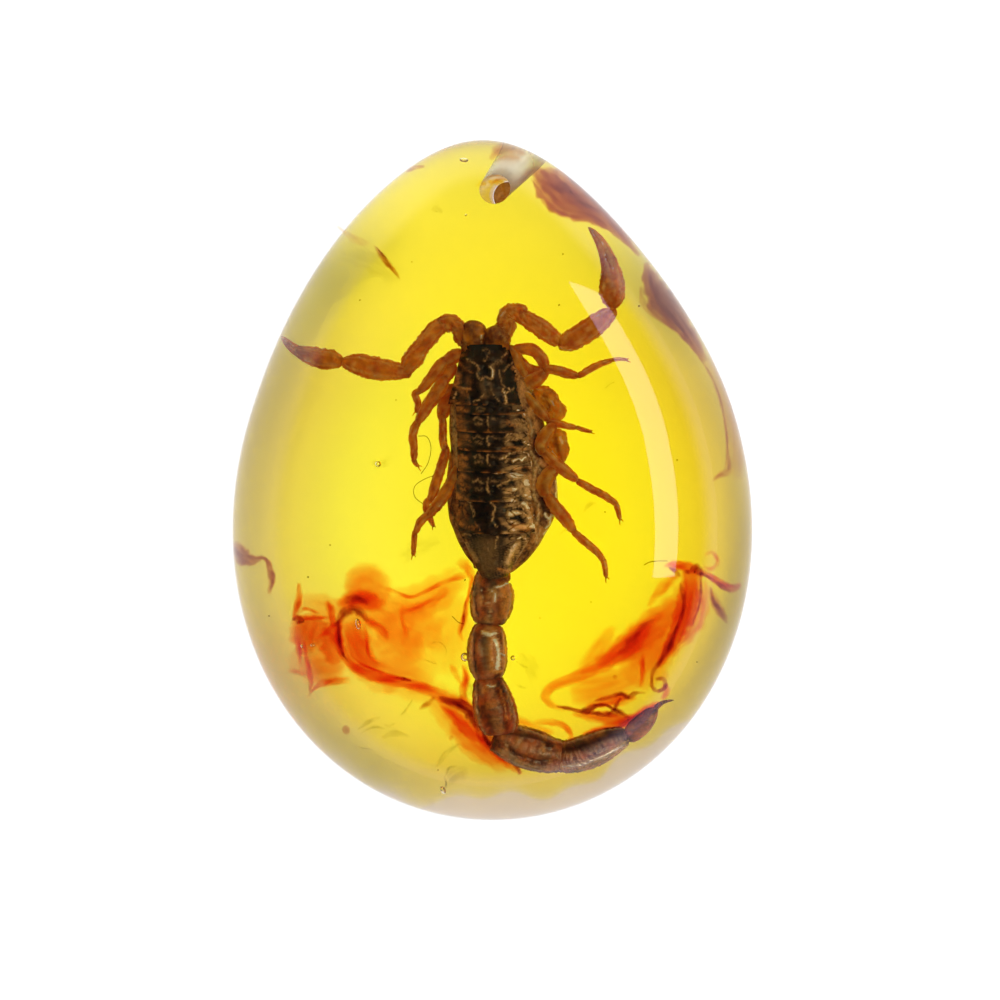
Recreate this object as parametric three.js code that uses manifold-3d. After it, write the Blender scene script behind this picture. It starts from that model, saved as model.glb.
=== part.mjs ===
// A teardrop of clear, amber-coloured casting resin, drilled near its tip for a cord.
// It lies on its flat back. +Z runs up through the dome, +Y runs to the pointed tip, and the origin is on the
// surface that it rests on, under the middle of its bounding box. Every length is in millimetres.
import * as THREE from "three";
import { mergeVertices } from "three/addons/utils/BufferGeometryUtils.js";
import Module from "manifold-3d";

// Driving dimensions of the drop
const LENGTH = 52; // heel to tip, along Y
const WIDTH = 39.6; // across the widest station, along X
const THICKNESS = 16; // flat back to the crown of the dome
const RIM_HEIGHT = 4.6; // the widest line's height over the back
const BACK_SHARE = 0.83; // the flat back's size as a share of the widest line
const CROWN_Y = -4; // station of the crown, where the drop is widest too
const TIP_LEAN = 0.7; // how far the tip leans towards -X

// Driving dimensions of the cord hole
const BORE_RADIUS = 1.15;
const BORE_FRONT = new THREE.Vector3(-0.34, 21.9, THICKNESS); // its axis at the height of the crown
const BORE_BACK = new THREE.Vector3(1.2, 21.9, 0); // and where that leaves the back

// The outline's half width is that of an ellipse times this cubic of the station, -1 at the heel and 1 at the tip
const FULLNESS = [0.9904, -0.1771, -0.0899, -0.0378];
const LEAN_FROM = 0.2; // the tip starts to lean at this station
const LEAN_TO = 0.85; // and has its whole lean from this one on

// The dome's section is k^CROWN_POWER + (z / rise)^2 = 1, a little flatter on top than an ellipse
const CROWN_POWER = 2.3;

// How finely the round surfaces are cut into flats
const ROUND_STEPS = 96;
const DOME_STEPS = 26;
const EDGE_STEPS = 8;
const BORE_STEPS = 24;

// Where the widest line lies, at an angle round the drop: 0 is +X and a quarter turn is the tip.
function rimPoint(angle) {
  const station = Math.sin(angle);
  const fullness = FULLNESS.reduce((sum, share, power) => sum + share * station ** power, 0);
  const lean = TIP_LEAN * THREE.MathUtils.smoothstep(station, LEAN_FROM, LEAN_TO);
  return new THREE.Vector2((WIDTH / 2) * Math.cos(angle) * fullness - lean, (LENGTH / 2) * station);
}

// Half of the drop's section, with the reach from the crown's axis as a share of the way to the widest line.
function halfSection() {
  const points = [new THREE.Vector2(0, 0)];
  for (let i = 0; i < EDGE_STEPS; i++) {
    const turn = (i / EDGE_STEPS) * (Math.PI / 2);
    const reach = BACK_SHARE + (1 - BACK_SHARE) * Math.sin(turn);
    points.push(new THREE.Vector2(reach, RIM_HEIGHT * (1 - Math.cos(turn))));
  }
  for (let i = 0; i < DOME_STEPS; i++) {
    const turn = (i / DOME_STEPS) * (Math.PI / 2);
    const reach = Math.cos(turn) ** (2 / CROWN_POWER);
    points.push(new THREE.Vector2(reach, RIM_HEIGHT + (THICKNESS - RIM_HEIGHT) * Math.sin(turn)));
  }
  points.push(new THREE.Vector2(0, THICKNESS));
  return points;
}

// The section spun round the crown's axis, with each ring then stretched to the shape of the widest line.
function undrilledDrop() {
  const drop = new THREE.LatheGeometry(halfSection(), ROUND_STEPS);
  drop.rotateX(Math.PI / 2);
  const place = drop.getAttribute("position");
  for (let i = 0; i < place.count; i++) {
    const reach = Math.hypot(place.getX(i), place.getY(i));
    const rim = rimPoint(Math.atan2(place.getY(i), place.getX(i)));
    place.setXY(i, reach * rim.x, CROWN_Y + reach * (rim.y - CROWN_Y));
  }
  return drop;
}

// A round tool along the cord hole, long enough to pass both faces.
function boreTool() {
  const along = BORE_BACK.clone().sub(BORE_FRONT);
  const tool = new THREE.CylinderGeometry(BORE_RADIUS, BORE_RADIUS, along.length() * 1.5, BORE_STEPS);
  tool.applyQuaternion(new THREE.Quaternion().setFromUnitVectors(
    new THREE.Vector3(0, 1, 0),
    along.clone().normalize(),
  ));
  const middle = BORE_FRONT.clone().lerp(BORE_BACK, 0.5);
  return tool.translate(middle.x, middle.y, middle.z);
}

// A closed geometry as a solid that can be cut.
function solidOf(wasm, geometry) {
  const bare = geometry.clone();
  bare.deleteAttribute("normal");
  bare.deleteAttribute("uv");
  const merged = mergeVertices(bare, 1e-4);
  return new wasm.Manifold(new wasm.Mesh({
    numProp: 3,
    vertProperties: merged.getAttribute("position").array,
    triVerts: new Uint32Array(merged.index.array),
  }));
}

// A solid's surface as a geometry again.
function geometryOf(solid) {
  const mesh = solid.getMesh();
  const geometry = new THREE.BufferGeometry();
  geometry.setAttribute("position", new THREE.BufferAttribute(mesh.vertProperties, 3));
  geometry.setIndex(new THREE.BufferAttribute(mesh.triVerts, 1));
  geometry.computeVertexNormals();
  return geometry;
}

const wasm = await Module();
wasm.setup();
const drilled = solidOf(wasm, undrilledDrop()).subtract(solidOf(wasm, boreTool()));

const amberResin = new THREE.MeshStandardMaterial({
  color: 0xffe02a,
  roughness: 0.04,
  metalness: 0,
  transparent: true,
  opacity: 0.5,
});

const resinDrop = new THREE.Mesh(geometryOf(drilled), amberResin);
resinDrop.name = "resin_drop";

const scorpionDrop = new THREE.Group();
scorpionDrop.name = "scorpion_drop";
scorpionDrop.add(resinDrop);

export default scorpionDrop;
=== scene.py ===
# %% [markdown]
# # A scorpion cast in a drop of yellow resin
# The real object is one casting: a teardrop of clear, amber-coloured resin that was poured over a dried
# scorpion, domed by hand on one side, ground flat on the other and drilled near its tip for a cord. The
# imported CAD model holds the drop's size and its hole. This lesson gives the drop its clear finish and makes
# everything that is sealed in it: the scorpion's plates, limbs and tail, the curls of dye, the bubbles and
# the dust.

# %% Load the frame
import math

import bmesh
import bpy
import numpy as np
from mathutils import Matrix, Vector


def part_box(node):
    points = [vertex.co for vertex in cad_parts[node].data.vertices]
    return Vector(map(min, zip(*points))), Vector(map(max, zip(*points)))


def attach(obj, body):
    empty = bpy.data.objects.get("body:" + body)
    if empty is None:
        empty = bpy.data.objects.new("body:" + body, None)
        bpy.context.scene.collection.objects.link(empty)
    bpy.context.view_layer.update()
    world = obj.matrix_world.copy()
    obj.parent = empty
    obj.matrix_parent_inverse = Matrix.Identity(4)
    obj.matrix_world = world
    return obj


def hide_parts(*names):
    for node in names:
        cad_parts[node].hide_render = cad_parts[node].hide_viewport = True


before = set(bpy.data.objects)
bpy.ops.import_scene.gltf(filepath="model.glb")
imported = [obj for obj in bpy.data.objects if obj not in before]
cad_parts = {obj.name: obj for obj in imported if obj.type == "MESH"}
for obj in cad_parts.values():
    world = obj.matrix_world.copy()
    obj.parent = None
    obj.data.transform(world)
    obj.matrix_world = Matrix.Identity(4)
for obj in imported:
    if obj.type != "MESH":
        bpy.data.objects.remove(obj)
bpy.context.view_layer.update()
MM = 0.001

# %% [markdown]
# ## Two helpers that every piece uses
# A piece is a surface worked out with numpy: a grid of points with rows and columns. A tube closes on itself
# across its columns, and a closed shell ends in a pole at its first and last row. One helper turns such a
# grid into a mesh, with faces that point outwards, and puts the piece on the casting's body.

# %% Grids into meshes
def grid_faces(rows, columns, wrap):
    """Four-sided faces between neighbouring points of a grid; wrap joins the last column to the first."""
    across = columns if wrap else columns - 1
    row, column = np.meshgrid(np.arange(rows - 1), np.arange(across), indexing="ij")
    beside = (column + 1) % columns
    corners = (row * columns + column, row * columns + beside, (row + 1) * columns + beside,
               (row + 1) * columns + column)
    return np.stack([corner.ravel() for corner in corners], axis=1)


def mesh_of(name, points, faces):
    """A mesh from arrays of points and four-sided faces; a face with two like corners becomes a triangle."""
    mesh = bpy.data.meshes.new(name)
    mesh.from_pydata(points.tolist(), [], faces.tolist())
    mesh.validate()
    mesh.polygons.foreach_set("use_smooth", np.ones(len(mesh.polygons), dtype=bool))
    mesh.update()
    return mesh


def add_piece(name, mesh, material):
    """A finished piece at the origin, riding on the casting's one body."""
    piece = bpy.data.objects.new(name, mesh)
    bpy.context.collection.objects.link(piece)
    mesh.materials.append(material)
    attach(piece, "root")
    return piece


# %% [markdown]
# ## Shader maths as plain expressions
# A node tree is easier to read as a sum than as a list of links. This small class wraps one output socket, so
# that `1 - mask * 0.5` adds the Math nodes for it. Any other node comes from one method, which takes the
# node's type, its settings and what goes into its sockets.

# %% A socket that does sums
class Sum:
    """One output socket of a material's tree, with arithmetic that adds Math nodes."""

    def __init__(self, tree, socket):
        self.tree = tree
        self.socket = socket

    def node(self, kind, settings=None, out=0, **values):
        """Adds a node of any kind and returns one of its outputs; values go to sockets by name or number."""
        made = self.tree.nodes.new(kind)
        for key, value in (settings or {}).items():
            setattr(made, key, value)
        for key, value in values.items():
            name = key.replace("_", " ")
            target = made.inputs[int(key[1:])] if key[1:].isdigit() else made.inputs[name]
            put(self.tree, value, target)
        return Sum(self.tree, made.outputs[out])

    def maths(self, operation, other):
        """A Math node on this value and another."""
        return self.node("ShaderNodeMath", {"operation": operation}, i0=self, i1=other)

    def __add__(self, other):
        return self.maths("ADD", other)

    def __sub__(self, other):
        return self.maths("SUBTRACT", other)

    def __mul__(self, other):
        return self.maths("MULTIPLY", other)

    def __rsub__(self, other):
        return (self * -1.0).maths("ADD", other)

    __radd__ = __add__
    __rmul__ = __mul__

    def between(self, low, high):
        """0 below low, 1 above high, and a smooth step between them."""
        return self.node("ShaderNodeMapRange", {"interpolation_type": "SMOOTHSTEP"},
                         i0=self, i1=low, i2=high, i3=0.0, i4=1.0)

    def mix(self, low, high):
        """The colour low where this value is 0 and high where it is 1."""
        return self.node("ShaderNodeMix", {"data_type": "RGBA"}, out=2, i0=self, i6=low, i7=high)


def put(tree, value, target):
    """Links a socket to another node's input, or sets the input to a number or colour."""
    if isinstance(value, Sum):
        tree.links.new(value.socket, target)
    elif isinstance(value, tuple) and len(value) == 3 and target.type == "RGBA":
        target.default_value = (*value, 1.0)
    else:
        target.default_value = value


def new_material(name, **values):
    """A material with one Principled shader, plus a Sum that reads the piece's own coordinates."""
    material = bpy.data.materials.new(name)
    material.use_nodes = True
    tree = material.node_tree
    shader = tree.nodes["Principled BSDF"]
    for key, value in values.items():
        put(tree, value, shader.inputs[key.replace("_", " ")])
    coordinates = tree.nodes.new("ShaderNodeTexCoord")
    return material, shader, Sum(tree, coordinates.outputs["Object"])


# %% [markdown]
# ## The drop's shape
# The drop is widest along one line near its back. Its outline is that of an ellipse times a cubic, which is
# full at the heel and slim at the tip. Above that line the section is a dome a little flatter on top than an
# ellipse, and below it a quarter round turns in to the flat back. The same formula gives the fine mesh, its
# exact normals and, further down, how the dome bends light. The box comes from the frame.

# %% Dimensions of the drop, in metres
drop_low, drop_high = (np.array(corner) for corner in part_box("resin_drop"))
LENGTH = drop_high[1] - drop_low[1]
WIDTH = 39.6 * MM
THICKNESS = drop_high[2] - drop_low[2]
RIM_HEIGHT = 4.6 * MM
BACK_SHARE = 0.83
CROWN_Y = -4 * MM
TIP_LEAN = 0.7 * MM
LEAN_FROM = 0.2
LEAN_TO = 0.85
FULLNESS = (0.9904, -0.1771, -0.0899, -0.0378)
CROWN_POWER = 2.3
BORE_RADIUS = 1.15 * MM
BORE_FRONT = np.array([-0.34, 21.9, 16.0]) * MM
BORE_BACK = np.array([1.2, 21.9, 0.0]) * MM
print("drop in mm:", round(LENGTH / MM, 2), "x", round(WIDTH / MM, 2), "x", round(THICKNESS / MM, 2))


# %% Its widest line
def smooth_step(value, low, high):
    """0 below low, 1 above high, and 3t^2 - 2t^3 between them."""
    share = np.clip((value - low) / (high - low), 0, 1)
    return share * share * (3 - 2 * share)


def rim_point(angle):
    """The widest line: an ellipse with its half width times a cubic of the station, and a leaning tip."""
    station = np.sin(angle)
    fullness = sum(share * station ** power for power, share in enumerate(FULLNESS))
    lean = TIP_LEAN * smooth_step(station, LEAN_FROM, LEAN_TO)
    return WIDTH / 2 * np.cos(angle) * fullness - lean, LENGTH / 2 * station


turns = np.linspace(-math.pi, math.pi, 1441)
rim_x, rim_y = rim_point(turns)
rim_bearing = np.unwrap(np.arctan2(rim_y - CROWN_Y, rim_x))
rim_reach = np.hypot(rim_x, rim_y - CROWN_Y)
print("rim reaches", round(rim_reach.min() / MM, 2), "to", round(rim_reach.max() / MM, 2),
      "mm from the crown's axis")


def reach_share(x, y):
    """How far a point lies from the crown's axis, as a share of the way to the widest line."""
    bearing = np.arctan2(y - CROWN_Y, x)
    limit = np.interp(bearing, rim_bearing, rim_reach, period=2 * math.pi)
    return np.hypot(x, y - CROWN_Y) / limit


def dome_height(x, y):
    """The dome: reach^power + (height over the widest line / rise)^2 = 1."""
    reach = np.clip(reach_share(x, y), 0, 1)
    return RIM_HEIGHT + (THICKNESS - RIM_HEIGHT) * np.sqrt(1 - reach ** CROWN_POWER)


def shell_level(x, y, z):
    """Negative inside the drop and positive outside; its slope is square to the surface."""
    reach = reach_share(x, y)
    over = (z - RIM_HEIGHT) / (THICKNESS - RIM_HEIGHT)
    dome = reach ** CROWN_POWER + over ** 2 - 1
    beyond = np.clip(reach - BACK_SHARE, 0, None) / (1 - BACK_SHARE)
    edge = beyond ** 2 + ((RIM_HEIGHT - z) / RIM_HEIGHT) ** 2 - 1
    return np.where(z > RIM_HEIGHT, dome, edge)


def drop_normals(points):
    """Outward normals of the drop, from the level's differences over a hundredth of a millimetre."""
    small = 0.01 * MM
    slopes = []
    for axis in range(3):
        shift = np.zeros(3)
        shift[axis] = small
        ahead = points + shift
        behind = points - shift
        slopes.append(shell_level(*ahead.T) - shell_level(*behind.T))
    normals = np.stack(slopes, axis=1)
    return normals / np.linalg.norm(normals, axis=1, keepdims=True).clip(1e-12)


# %% The fine mesh of the drop
ROUND_STEPS = 320
FLAT_STEPS = 12
EDGE_STEPS = 22
DOME_STEPS = 90


def drop_section():
    """Reach and height from the middle of the back, round the edge and up to the crown."""
    flat = np.linspace(0, BACK_SHARE, FLAT_STEPS, endpoint=False)
    edge = np.linspace(0, math.pi / 2, EDGE_STEPS, endpoint=False)
    dome = np.linspace(0, math.pi / 2, DOME_STEPS)
    reach = np.concatenate([flat, BACK_SHARE + (1 - BACK_SHARE) * np.sin(edge),
                            np.clip(np.cos(dome), 0, 1) ** (2 / CROWN_POWER)])
    height = np.concatenate([flat * 0, RIM_HEIGHT * (1 - np.cos(edge)),
                             RIM_HEIGHT + (THICKNESS - RIM_HEIGHT) * np.sin(dome)])
    reach[-1] = 0
    return reach, height


def drop_mesh(reach, height):
    """A section carried round the widest line, with a pole at each end of it."""
    angle = np.linspace(0, 2 * math.pi, ROUND_STEPS, endpoint=False)
    around_x, around_y = rim_point(angle)
    x = reach[:, None] * around_x
    y = CROWN_Y + reach[:, None] * (around_y - CROWN_Y)
    z = np.broadcast_to(height[:, None], x.shape)
    ring = np.stack([x, y, z], axis=2)[1:-1]
    rows = len(ring)
    points = np.concatenate([ring.reshape(-1, 3), [[0, CROWN_Y, height[0]], [0, CROWN_Y, height[-1]]]])
    faces = grid_faces(rows, ROUND_STEPS, wrap=True)
    here = np.arange(ROUND_STEPS)
    beside = (here + 1) % ROUND_STEPS
    low_pole = np.stack([here * 0 + rows * ROUND_STEPS, beside, here], axis=1)
    top_row = (rows - 1) * ROUND_STEPS
    top_pole = np.stack([here * 0 + rows * ROUND_STEPS + 1, top_row + here, top_row + beside], axis=1)
    mesh = bpy.data.meshes.new("resin")
    mesh.from_pydata(points.tolist(), [], faces.tolist() + low_pole.tolist() + top_pole.tolist())
    mesh.update()
    return mesh


# %% [markdown]
# ## Drilling the cord hole
# A drilled hole is the one place where a Boolean beats a formula: the cylinder meets a doubly curved dome
# along an awkward line. The cut leaves thin faces round the mouth, which would bend light in the wrong way,
# so every corner gets its exact normal afterwards: square to the drill inside the hole, and the dome's own
# everywhere else.

# %% The drill and the cut
DRILL_ROUND = 96
DRILL_ROWS = 60


def drill_mesh():
    """A closed cylinder round the hole's axis, longer than the drop is thick."""
    axis = BORE_BACK - BORE_FRONT
    start = BORE_FRONT - 0.25 * axis
    end = BORE_BACK + 0.25 * axis
    turn = np.linspace(0, 2 * math.pi, DRILL_ROUND, endpoint=False)
    side = np.cross(axis, [0, 1, 0])
    side = side / np.linalg.norm(side)
    up = np.cross(axis, side) / np.linalg.norm(axis)
    circle = BORE_RADIUS * (np.cos(turn)[:, None] * side + np.sin(turn)[:, None] * up)
    levels = np.linspace(0, 1, DRILL_ROWS)[:, None, None]
    points = (start + levels * (end - start)) + circle[None]
    mesh = bpy.data.meshes.new("drill")
    last = DRILL_ROWS * DRILL_ROUND - 1
    caps = [list(range(DRILL_ROUND)), list(range(last, last - DRILL_ROUND, -1))]
    wall = grid_faces(DRILL_ROWS, DRILL_ROUND, wrap=True).tolist()
    mesh.from_pydata(points.reshape(-1, 3).tolist(), [], wall + caps)
    mesh.update()
    return mesh


def cut_away(mesh, tool_mesh):
    """The first mesh with the second one's inside cut away."""
    whole = bpy.data.objects.new("whole", mesh)
    tool = bpy.data.objects.new("tool", tool_mesh)
    for thing in (whole, tool):
        bpy.context.collection.objects.link(thing)
    cut = whole.modifiers.new("cut", "BOOLEAN")
    cut.operation = "DIFFERENCE"
    cut.solver = "EXACT"
    cut.object = tool
    bpy.context.view_layer.update()
    result = bpy.data.meshes.new_from_object(whole.evaluated_get(bpy.context.evaluated_depsgraph_get()))
    bpy.data.objects.remove(whole)
    bpy.data.objects.remove(tool)
    return result


resin_mesh = cut_away(drop_mesh(*drop_section()), drill_mesh())
print("resin drop:", len(resin_mesh.polygons), "faces after drilling")


# %% Exact normals, and a mark on the drilled wall
def from_bore_axis(points):
    """Vectors from the hole's axis straight out to each point."""
    along = (BORE_BACK - BORE_FRONT) / np.linalg.norm(BORE_BACK - BORE_FRONT)
    offset = points - BORE_FRONT
    return offset - (offset @ along)[:, None] * along


def finish_drop_normals(mesh):
    """Gives each corner its exact normal, and marks the drilled wall's faces in the attribute `drilled`."""
    places = np.empty(len(mesh.vertices) * 3)
    mesh.vertices.foreach_get("co", places)
    places = places.reshape(-1, 3)
    corner_point = np.empty(len(mesh.loops), dtype=int)
    mesh.loops.foreach_get("vertex_index", corner_point)
    centres = np.empty(len(mesh.polygons) * 3)
    mesh.polygons.foreach_get("center", centres)
    in_hole = np.linalg.norm(from_bore_axis(centres.reshape(-1, 3)), axis=1) < BORE_RADIUS * 1.001
    sizes = np.empty(len(mesh.polygons), dtype=int)
    mesh.polygons.foreach_get("loop_total", sizes)
    corner_in_hole = np.repeat(in_hole, sizes)
    smooth = drop_normals(places)[corner_point]
    inward = -from_bore_axis(places)[corner_point]
    inward = inward / np.linalg.norm(inward, axis=1, keepdims=True).clip(1e-12)
    mesh.polygons.foreach_set("use_smooth", np.ones(len(mesh.polygons), dtype=bool))
    mesh.normals_split_custom_set(np.where(corner_in_hole[:, None], inward, smooth).tolist())
    mark = mesh.attributes.new("drilled", "FLOAT", "FACE")
    mark.data.foreach_set("value", in_hole.astype(float))
    mesh.update()
    return in_hole.sum()


print("faces on the drilled wall:", finish_drop_normals(resin_mesh))

# %% [markdown]
# ## Clear yellow resin
# The resin is see-through by plain transmission: the light bends by its index at the dome, and on its way it
# loses blue and a little green, which makes thick places yellow and the thin edge pale. The dome is polished,
# the lapped back is less fine, and the drilled wall is frosted, because a drill leaves it rough.
#
# The drop is cast face down. The clear front is poured first, the scorpion is laid on it, and a deeper yellow
# back is poured over them. The front's surface crept up the wall of the mould before it set, so the back pour
# is a shallow lens, and only its absorption can be seen, because both pours bend light alike.

# %% The resin's finish
RESIN_IOR = 1.5
FRONT_COLOUR = (1.0, 0.965, 0.0)
FRONT_DENSITY = 40.0
BACK_COLOUR = (1.0, 0.955, 0.0)
BACK_DENSITY = 760.0


def absorb(tree, colour, density):
    """Fills a material's inside with plain absorption."""
    volume = tree.nodes.new("ShaderNodeVolumeAbsorption")
    volume.inputs["Color"].default_value = (*colour, 1.0)
    volume.inputs["Density"].default_value = density
    tree.links.new(volume.outputs["Volume"], tree.nodes["Material Output"].inputs["Volume"])


def tint_finish(name, colour, density):
    """A tint with no surface of its own: a Transparent shader round plain absorption."""
    material, _, at = new_material(name)
    clear = at.node("ShaderNodeBsdfTransparent", Color=(1.0, 1.0, 1.0))
    put(at.tree, clear, at.tree.nodes["Material Output"].inputs["Surface"])
    absorb(at.tree, colour, density)
    return material


def resin_finish():
    """Glass with a yellow absorption, polished on the dome, less fine on the back, rough in the hole."""
    material, shader, at = new_material("clear yellow resin", Base_Color=(1.0, 1.0, 1.0),
                                        Transmission_Weight=1.0, IOR=RESIN_IOR)
    drilled = at.node("ShaderNodeAttribute", {"attribute_name": "drilled"}, out=2)
    grit = at.node("ShaderNodeTexNoise", out=0, Vector=at, Scale=3000.0, Detail=3.0)
    lapped = 1 - at.node("ShaderNodeSeparateXYZ", out=2, Vector=at).between(0.1 * MM, 0.5 * MM)
    put(at.tree, drilled * (0.45 + grit * 0.3) + lapped * (1 - drilled) * 0.4, shader.inputs["Roughness"])
    put(at.tree, drilled.mix((1.0, 1.0, 1.0), (0.7, 0.45, 0.22)), shader.inputs["Base Color"])
    absorb(at.tree, FRONT_COLOUR, FRONT_DENSITY)
    return material


resin = add_piece("resin", resin_mesh, resin_finish())
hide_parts("resin_drop")

# %% The back pour
POUR_DEPTH = 4.4 * MM
POUR_EDGE = 1.6 * MM
POUR_GAP = 0.06 * MM


def back_pour_section():
    """Flat a hair over the back, up along the drop's edge, then edge + rise (1 - (reach / limit)^3)^0.5."""
    flat = np.linspace(0, 0.82, 12)
    turn = np.linspace(0.15, math.acos(1 - POUR_EDGE / RIM_HEIGHT), 10)
    lens = np.linspace(0, math.pi / 2, 40)[1:]
    wall = 0.985 * (BACK_SHARE + (1 - BACK_SHARE) * np.sin(turn))
    over = wall[-1] * np.cos(lens).clip(0) ** (2 / 3)
    over[-1] = 0
    return (np.concatenate([flat, wall, over]),
            np.concatenate([flat * 0 + POUR_GAP, POUR_GAP + RIM_HEIGHT * (1 - np.cos(turn)),
                            POUR_EDGE + POUR_GAP + (POUR_DEPTH - POUR_EDGE) * np.sin(lens)]))


# How much the pour is drawn in from the drop's side, by the angle round the crown: 0 is +X, 90 the tip
DRAWN_IN = ((-180, 0.02), (-140, 0.08), (-95, 0.15), (-65, 0.15), (-45, 0.12), (-25, 0.1), (35, 0.085),
            (65, 0.04), (90, 0.0), (150, 0.0), (180, 0.02))


def lean_pour(mesh):
    """The mould stood askew: height * (1 + 0.03 x per mm), and the upper wall drawn in by DRAWN_IN."""
    places = np.empty(len(mesh.vertices) * 3)
    mesh.vertices.foreach_get("co", places)
    places = places.reshape(-1, 3)
    x, y, z = places.T.copy() / MM
    over = smooth_step(z, 0.1, 0.5)
    turn = np.arctan2(y - CROWN_Y / MM, x)
    inwards = np.interp(np.degrees(turn), *zip(*DRAWN_IN))
    inwards = inwards * (1 + 0.1 * np.sin(11 * turn) + 0.07 * np.sin(29 * turn + 1)) * over
    places[:, 0] = places[:, 0] * (1 - inwards)
    places[:, 1] = CROWN_Y + (places[:, 1] - CROWN_Y) * (1 - inwards)
    places[:, 2] = places[:, 2] * (1 + 0.03 * np.clip(x, -14, 7) * over * (1 - 0.6 * smooth_step(y, 8, 18)))
    mesh.vertices.foreach_set("co", places.ravel())
    mesh.update()
    return mesh


back_pour_mesh = cut_away(lean_pour(drop_mesh(*back_pour_section())), drill_mesh())
back_pour_mesh.polygons.foreach_set("use_smooth", np.ones(len(back_pour_mesh.polygons), dtype=bool))
add_piece("back_pour", back_pour_mesh, tint_finish("deep yellow resin", BACK_COLOUR, BACK_DENSITY))

# %% [markdown]
# ## Camera, floor and light
# The drop can't stand, so it lies on its back on a pale floor and the camera looks straight down on it, with
# the tip up. Light from straight above would lay a veil over the scorpion, as the dome's crown mirrors it, so
# the surround is dark overhead and bright only in a low band, which lights the scorpion through the dome's
# sides. A strip light at the right gives the dome its long curved highlight, and a key light that no polished
# face mirrors brightens the scorpion. The floor glows by itself, and the drop's shadow on it is painted: the
# floor is painted dimmer under the drop, with a painted pink tint near the drop's edge for light cast through
# it.

# %% The camera
SQUARE = 0.07647 * MM
CAMERA_DISTANCE = 0.42
GRID_SIZE = 1000  # squares along each side of the drawing grid, and so across the picture
MIDDLE_X = 492.5
MIDDLE_Y = 480
camera_data = bpy.data.cameras.new("camera")
camera = bpy.data.objects.new("camera", camera_data)
bpy.context.collection.objects.link(camera)
camera.location = ((GRID_SIZE / 2 - MIDDLE_X) * SQUARE, (MIDDLE_Y - GRID_SIZE / 2) * SQUARE,
                   RIM_HEIGHT + CAMERA_DISTANCE)
camera_data.sensor_width = 36
camera_data.lens = camera_data.sensor_width * CAMERA_DISTANCE / (GRID_SIZE * SQUARE)
camera_data.clip_start = 0.01
bpy.context.scene.camera = camera
print("lens:", round(camera_data.lens, 1), "mm")

# %% The floor
FLOOR_GAP = 0.15 * MM
# How much the drop's own shadow is deeper just inside its rim, by the angle round the crown
RIM_SHADE = ((-180, 0.0), (-140, 0.05), (-115, 0.2), (-95, 0.0), (-75, 0.0), (-50, 0.1), (-20, 0.28),
             (0, 0.25), (20, 0.1), (40, 0.05), (58, 0.35), (75, 0.05), (100, 0.0), (118, 0.3), (140, 0.05),
             (180, 0.0))


def spread(near, steps, far):
    """Stations from -far to far, close together within near of the middle."""
    return np.concatenate([[-far], np.linspace(-near, near, steps), [far]])


def floor_sheet():
    """A flat grid, fine under the drop: `shade` is its painted shadow, 1 where bright, `ring` 1 where painted
    pink.
    """
    x = spread(32 * MM, 129, 1.0)
    y = spread(36 * MM, 145, 1.0)
    across, along = np.meshgrid(x, y)
    points = np.stack([across.ravel(), along.ravel(), np.full(across.size, -FLOOR_GAP)], axis=1)
    mesh = mesh_of("floor", points, grid_faces(len(y), len(x), wrap=False))
    reach = reach_share(points[:, 0], points[:, 1])
    # Painted shadow of the drop: `inner` is how much darker the floor is painted under it.
    inner = 0.12 * smooth_step(reach, 0.3, 0.62) + 0.34 * smooth_step(reach, 0.62, 0.78)
    inner = inner * (1 - 0.45 * smooth_step(points[:, 1], 4 * MM, 13 * MM))
    inner = inner * (1 - 0.8 * smooth_step(points[:, 1], 13.5 * MM, 18 * MM))
    inner = inner * (1 - 0.25 * smooth_step(points[:, 0], -12 * MM, -3 * MM))
    inner = inner + 0.07 * (1 - smooth_step(points[:, 0], -13 * MM, -5 * MM))
    turn = np.degrees(np.arctan2(points[:, 1] - CROWN_Y, points[:, 0]))
    inner = inner + np.interp(turn, *zip(*RIM_SHADE)) * smooth_step(reach, 0.71, 0.755)
    shade = 1 - inner * (1 - smooth_step(reach, 0.93, 0.99))
    # Painted pink tint near the drop's edge, for light cast through the drop.
    ring = smooth_step(reach, 0.45, 0.75) * (1 - 0.7 * smooth_step(points[:, 1], 4 * MM, 16 * MM))
    for name, values in (("shade", shade), ("ring", ring * (1 - smooth_step(reach, 0.93, 0.99)))):
        mark = mesh.attributes.new(name, "FLOAT", "POINT")
        mark.data.foreach_set("value", values)
    return mesh


floor_mesh = floor_sheet()
floor = bpy.data.objects.new("floor", floor_mesh)
bpy.context.collection.objects.link(floor)
floor_material, floor_shader, floor_at = new_material("pale floor", Roughness=0.9, Emission_Strength=1.02)
# The floor's glow and colour are painted dimmer by `shade` and pink by `ring`, as the drop's painted shadow.
shade = floor_at.node("ShaderNodeAttribute", {"attribute_name": "shade"}, out=2)
put(floor_at.tree, shade.mix((0.0, 0.0, 0.0), (0.15, 0.15, 0.15)), floor_shader.inputs["Base Color"])
ring = floor_at.node("ShaderNodeAttribute", {"attribute_name": "ring"}, out=2)
under = ring.mix((1.0, 1.0, 1.0), (0.92, 0.74, 0.9))
put(floor_at.tree, shade.mix((0.0, 0.0, 0.0), under), floor_shader.inputs["Emission Color"])
floor_mesh.materials.append(floor_material)

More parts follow.
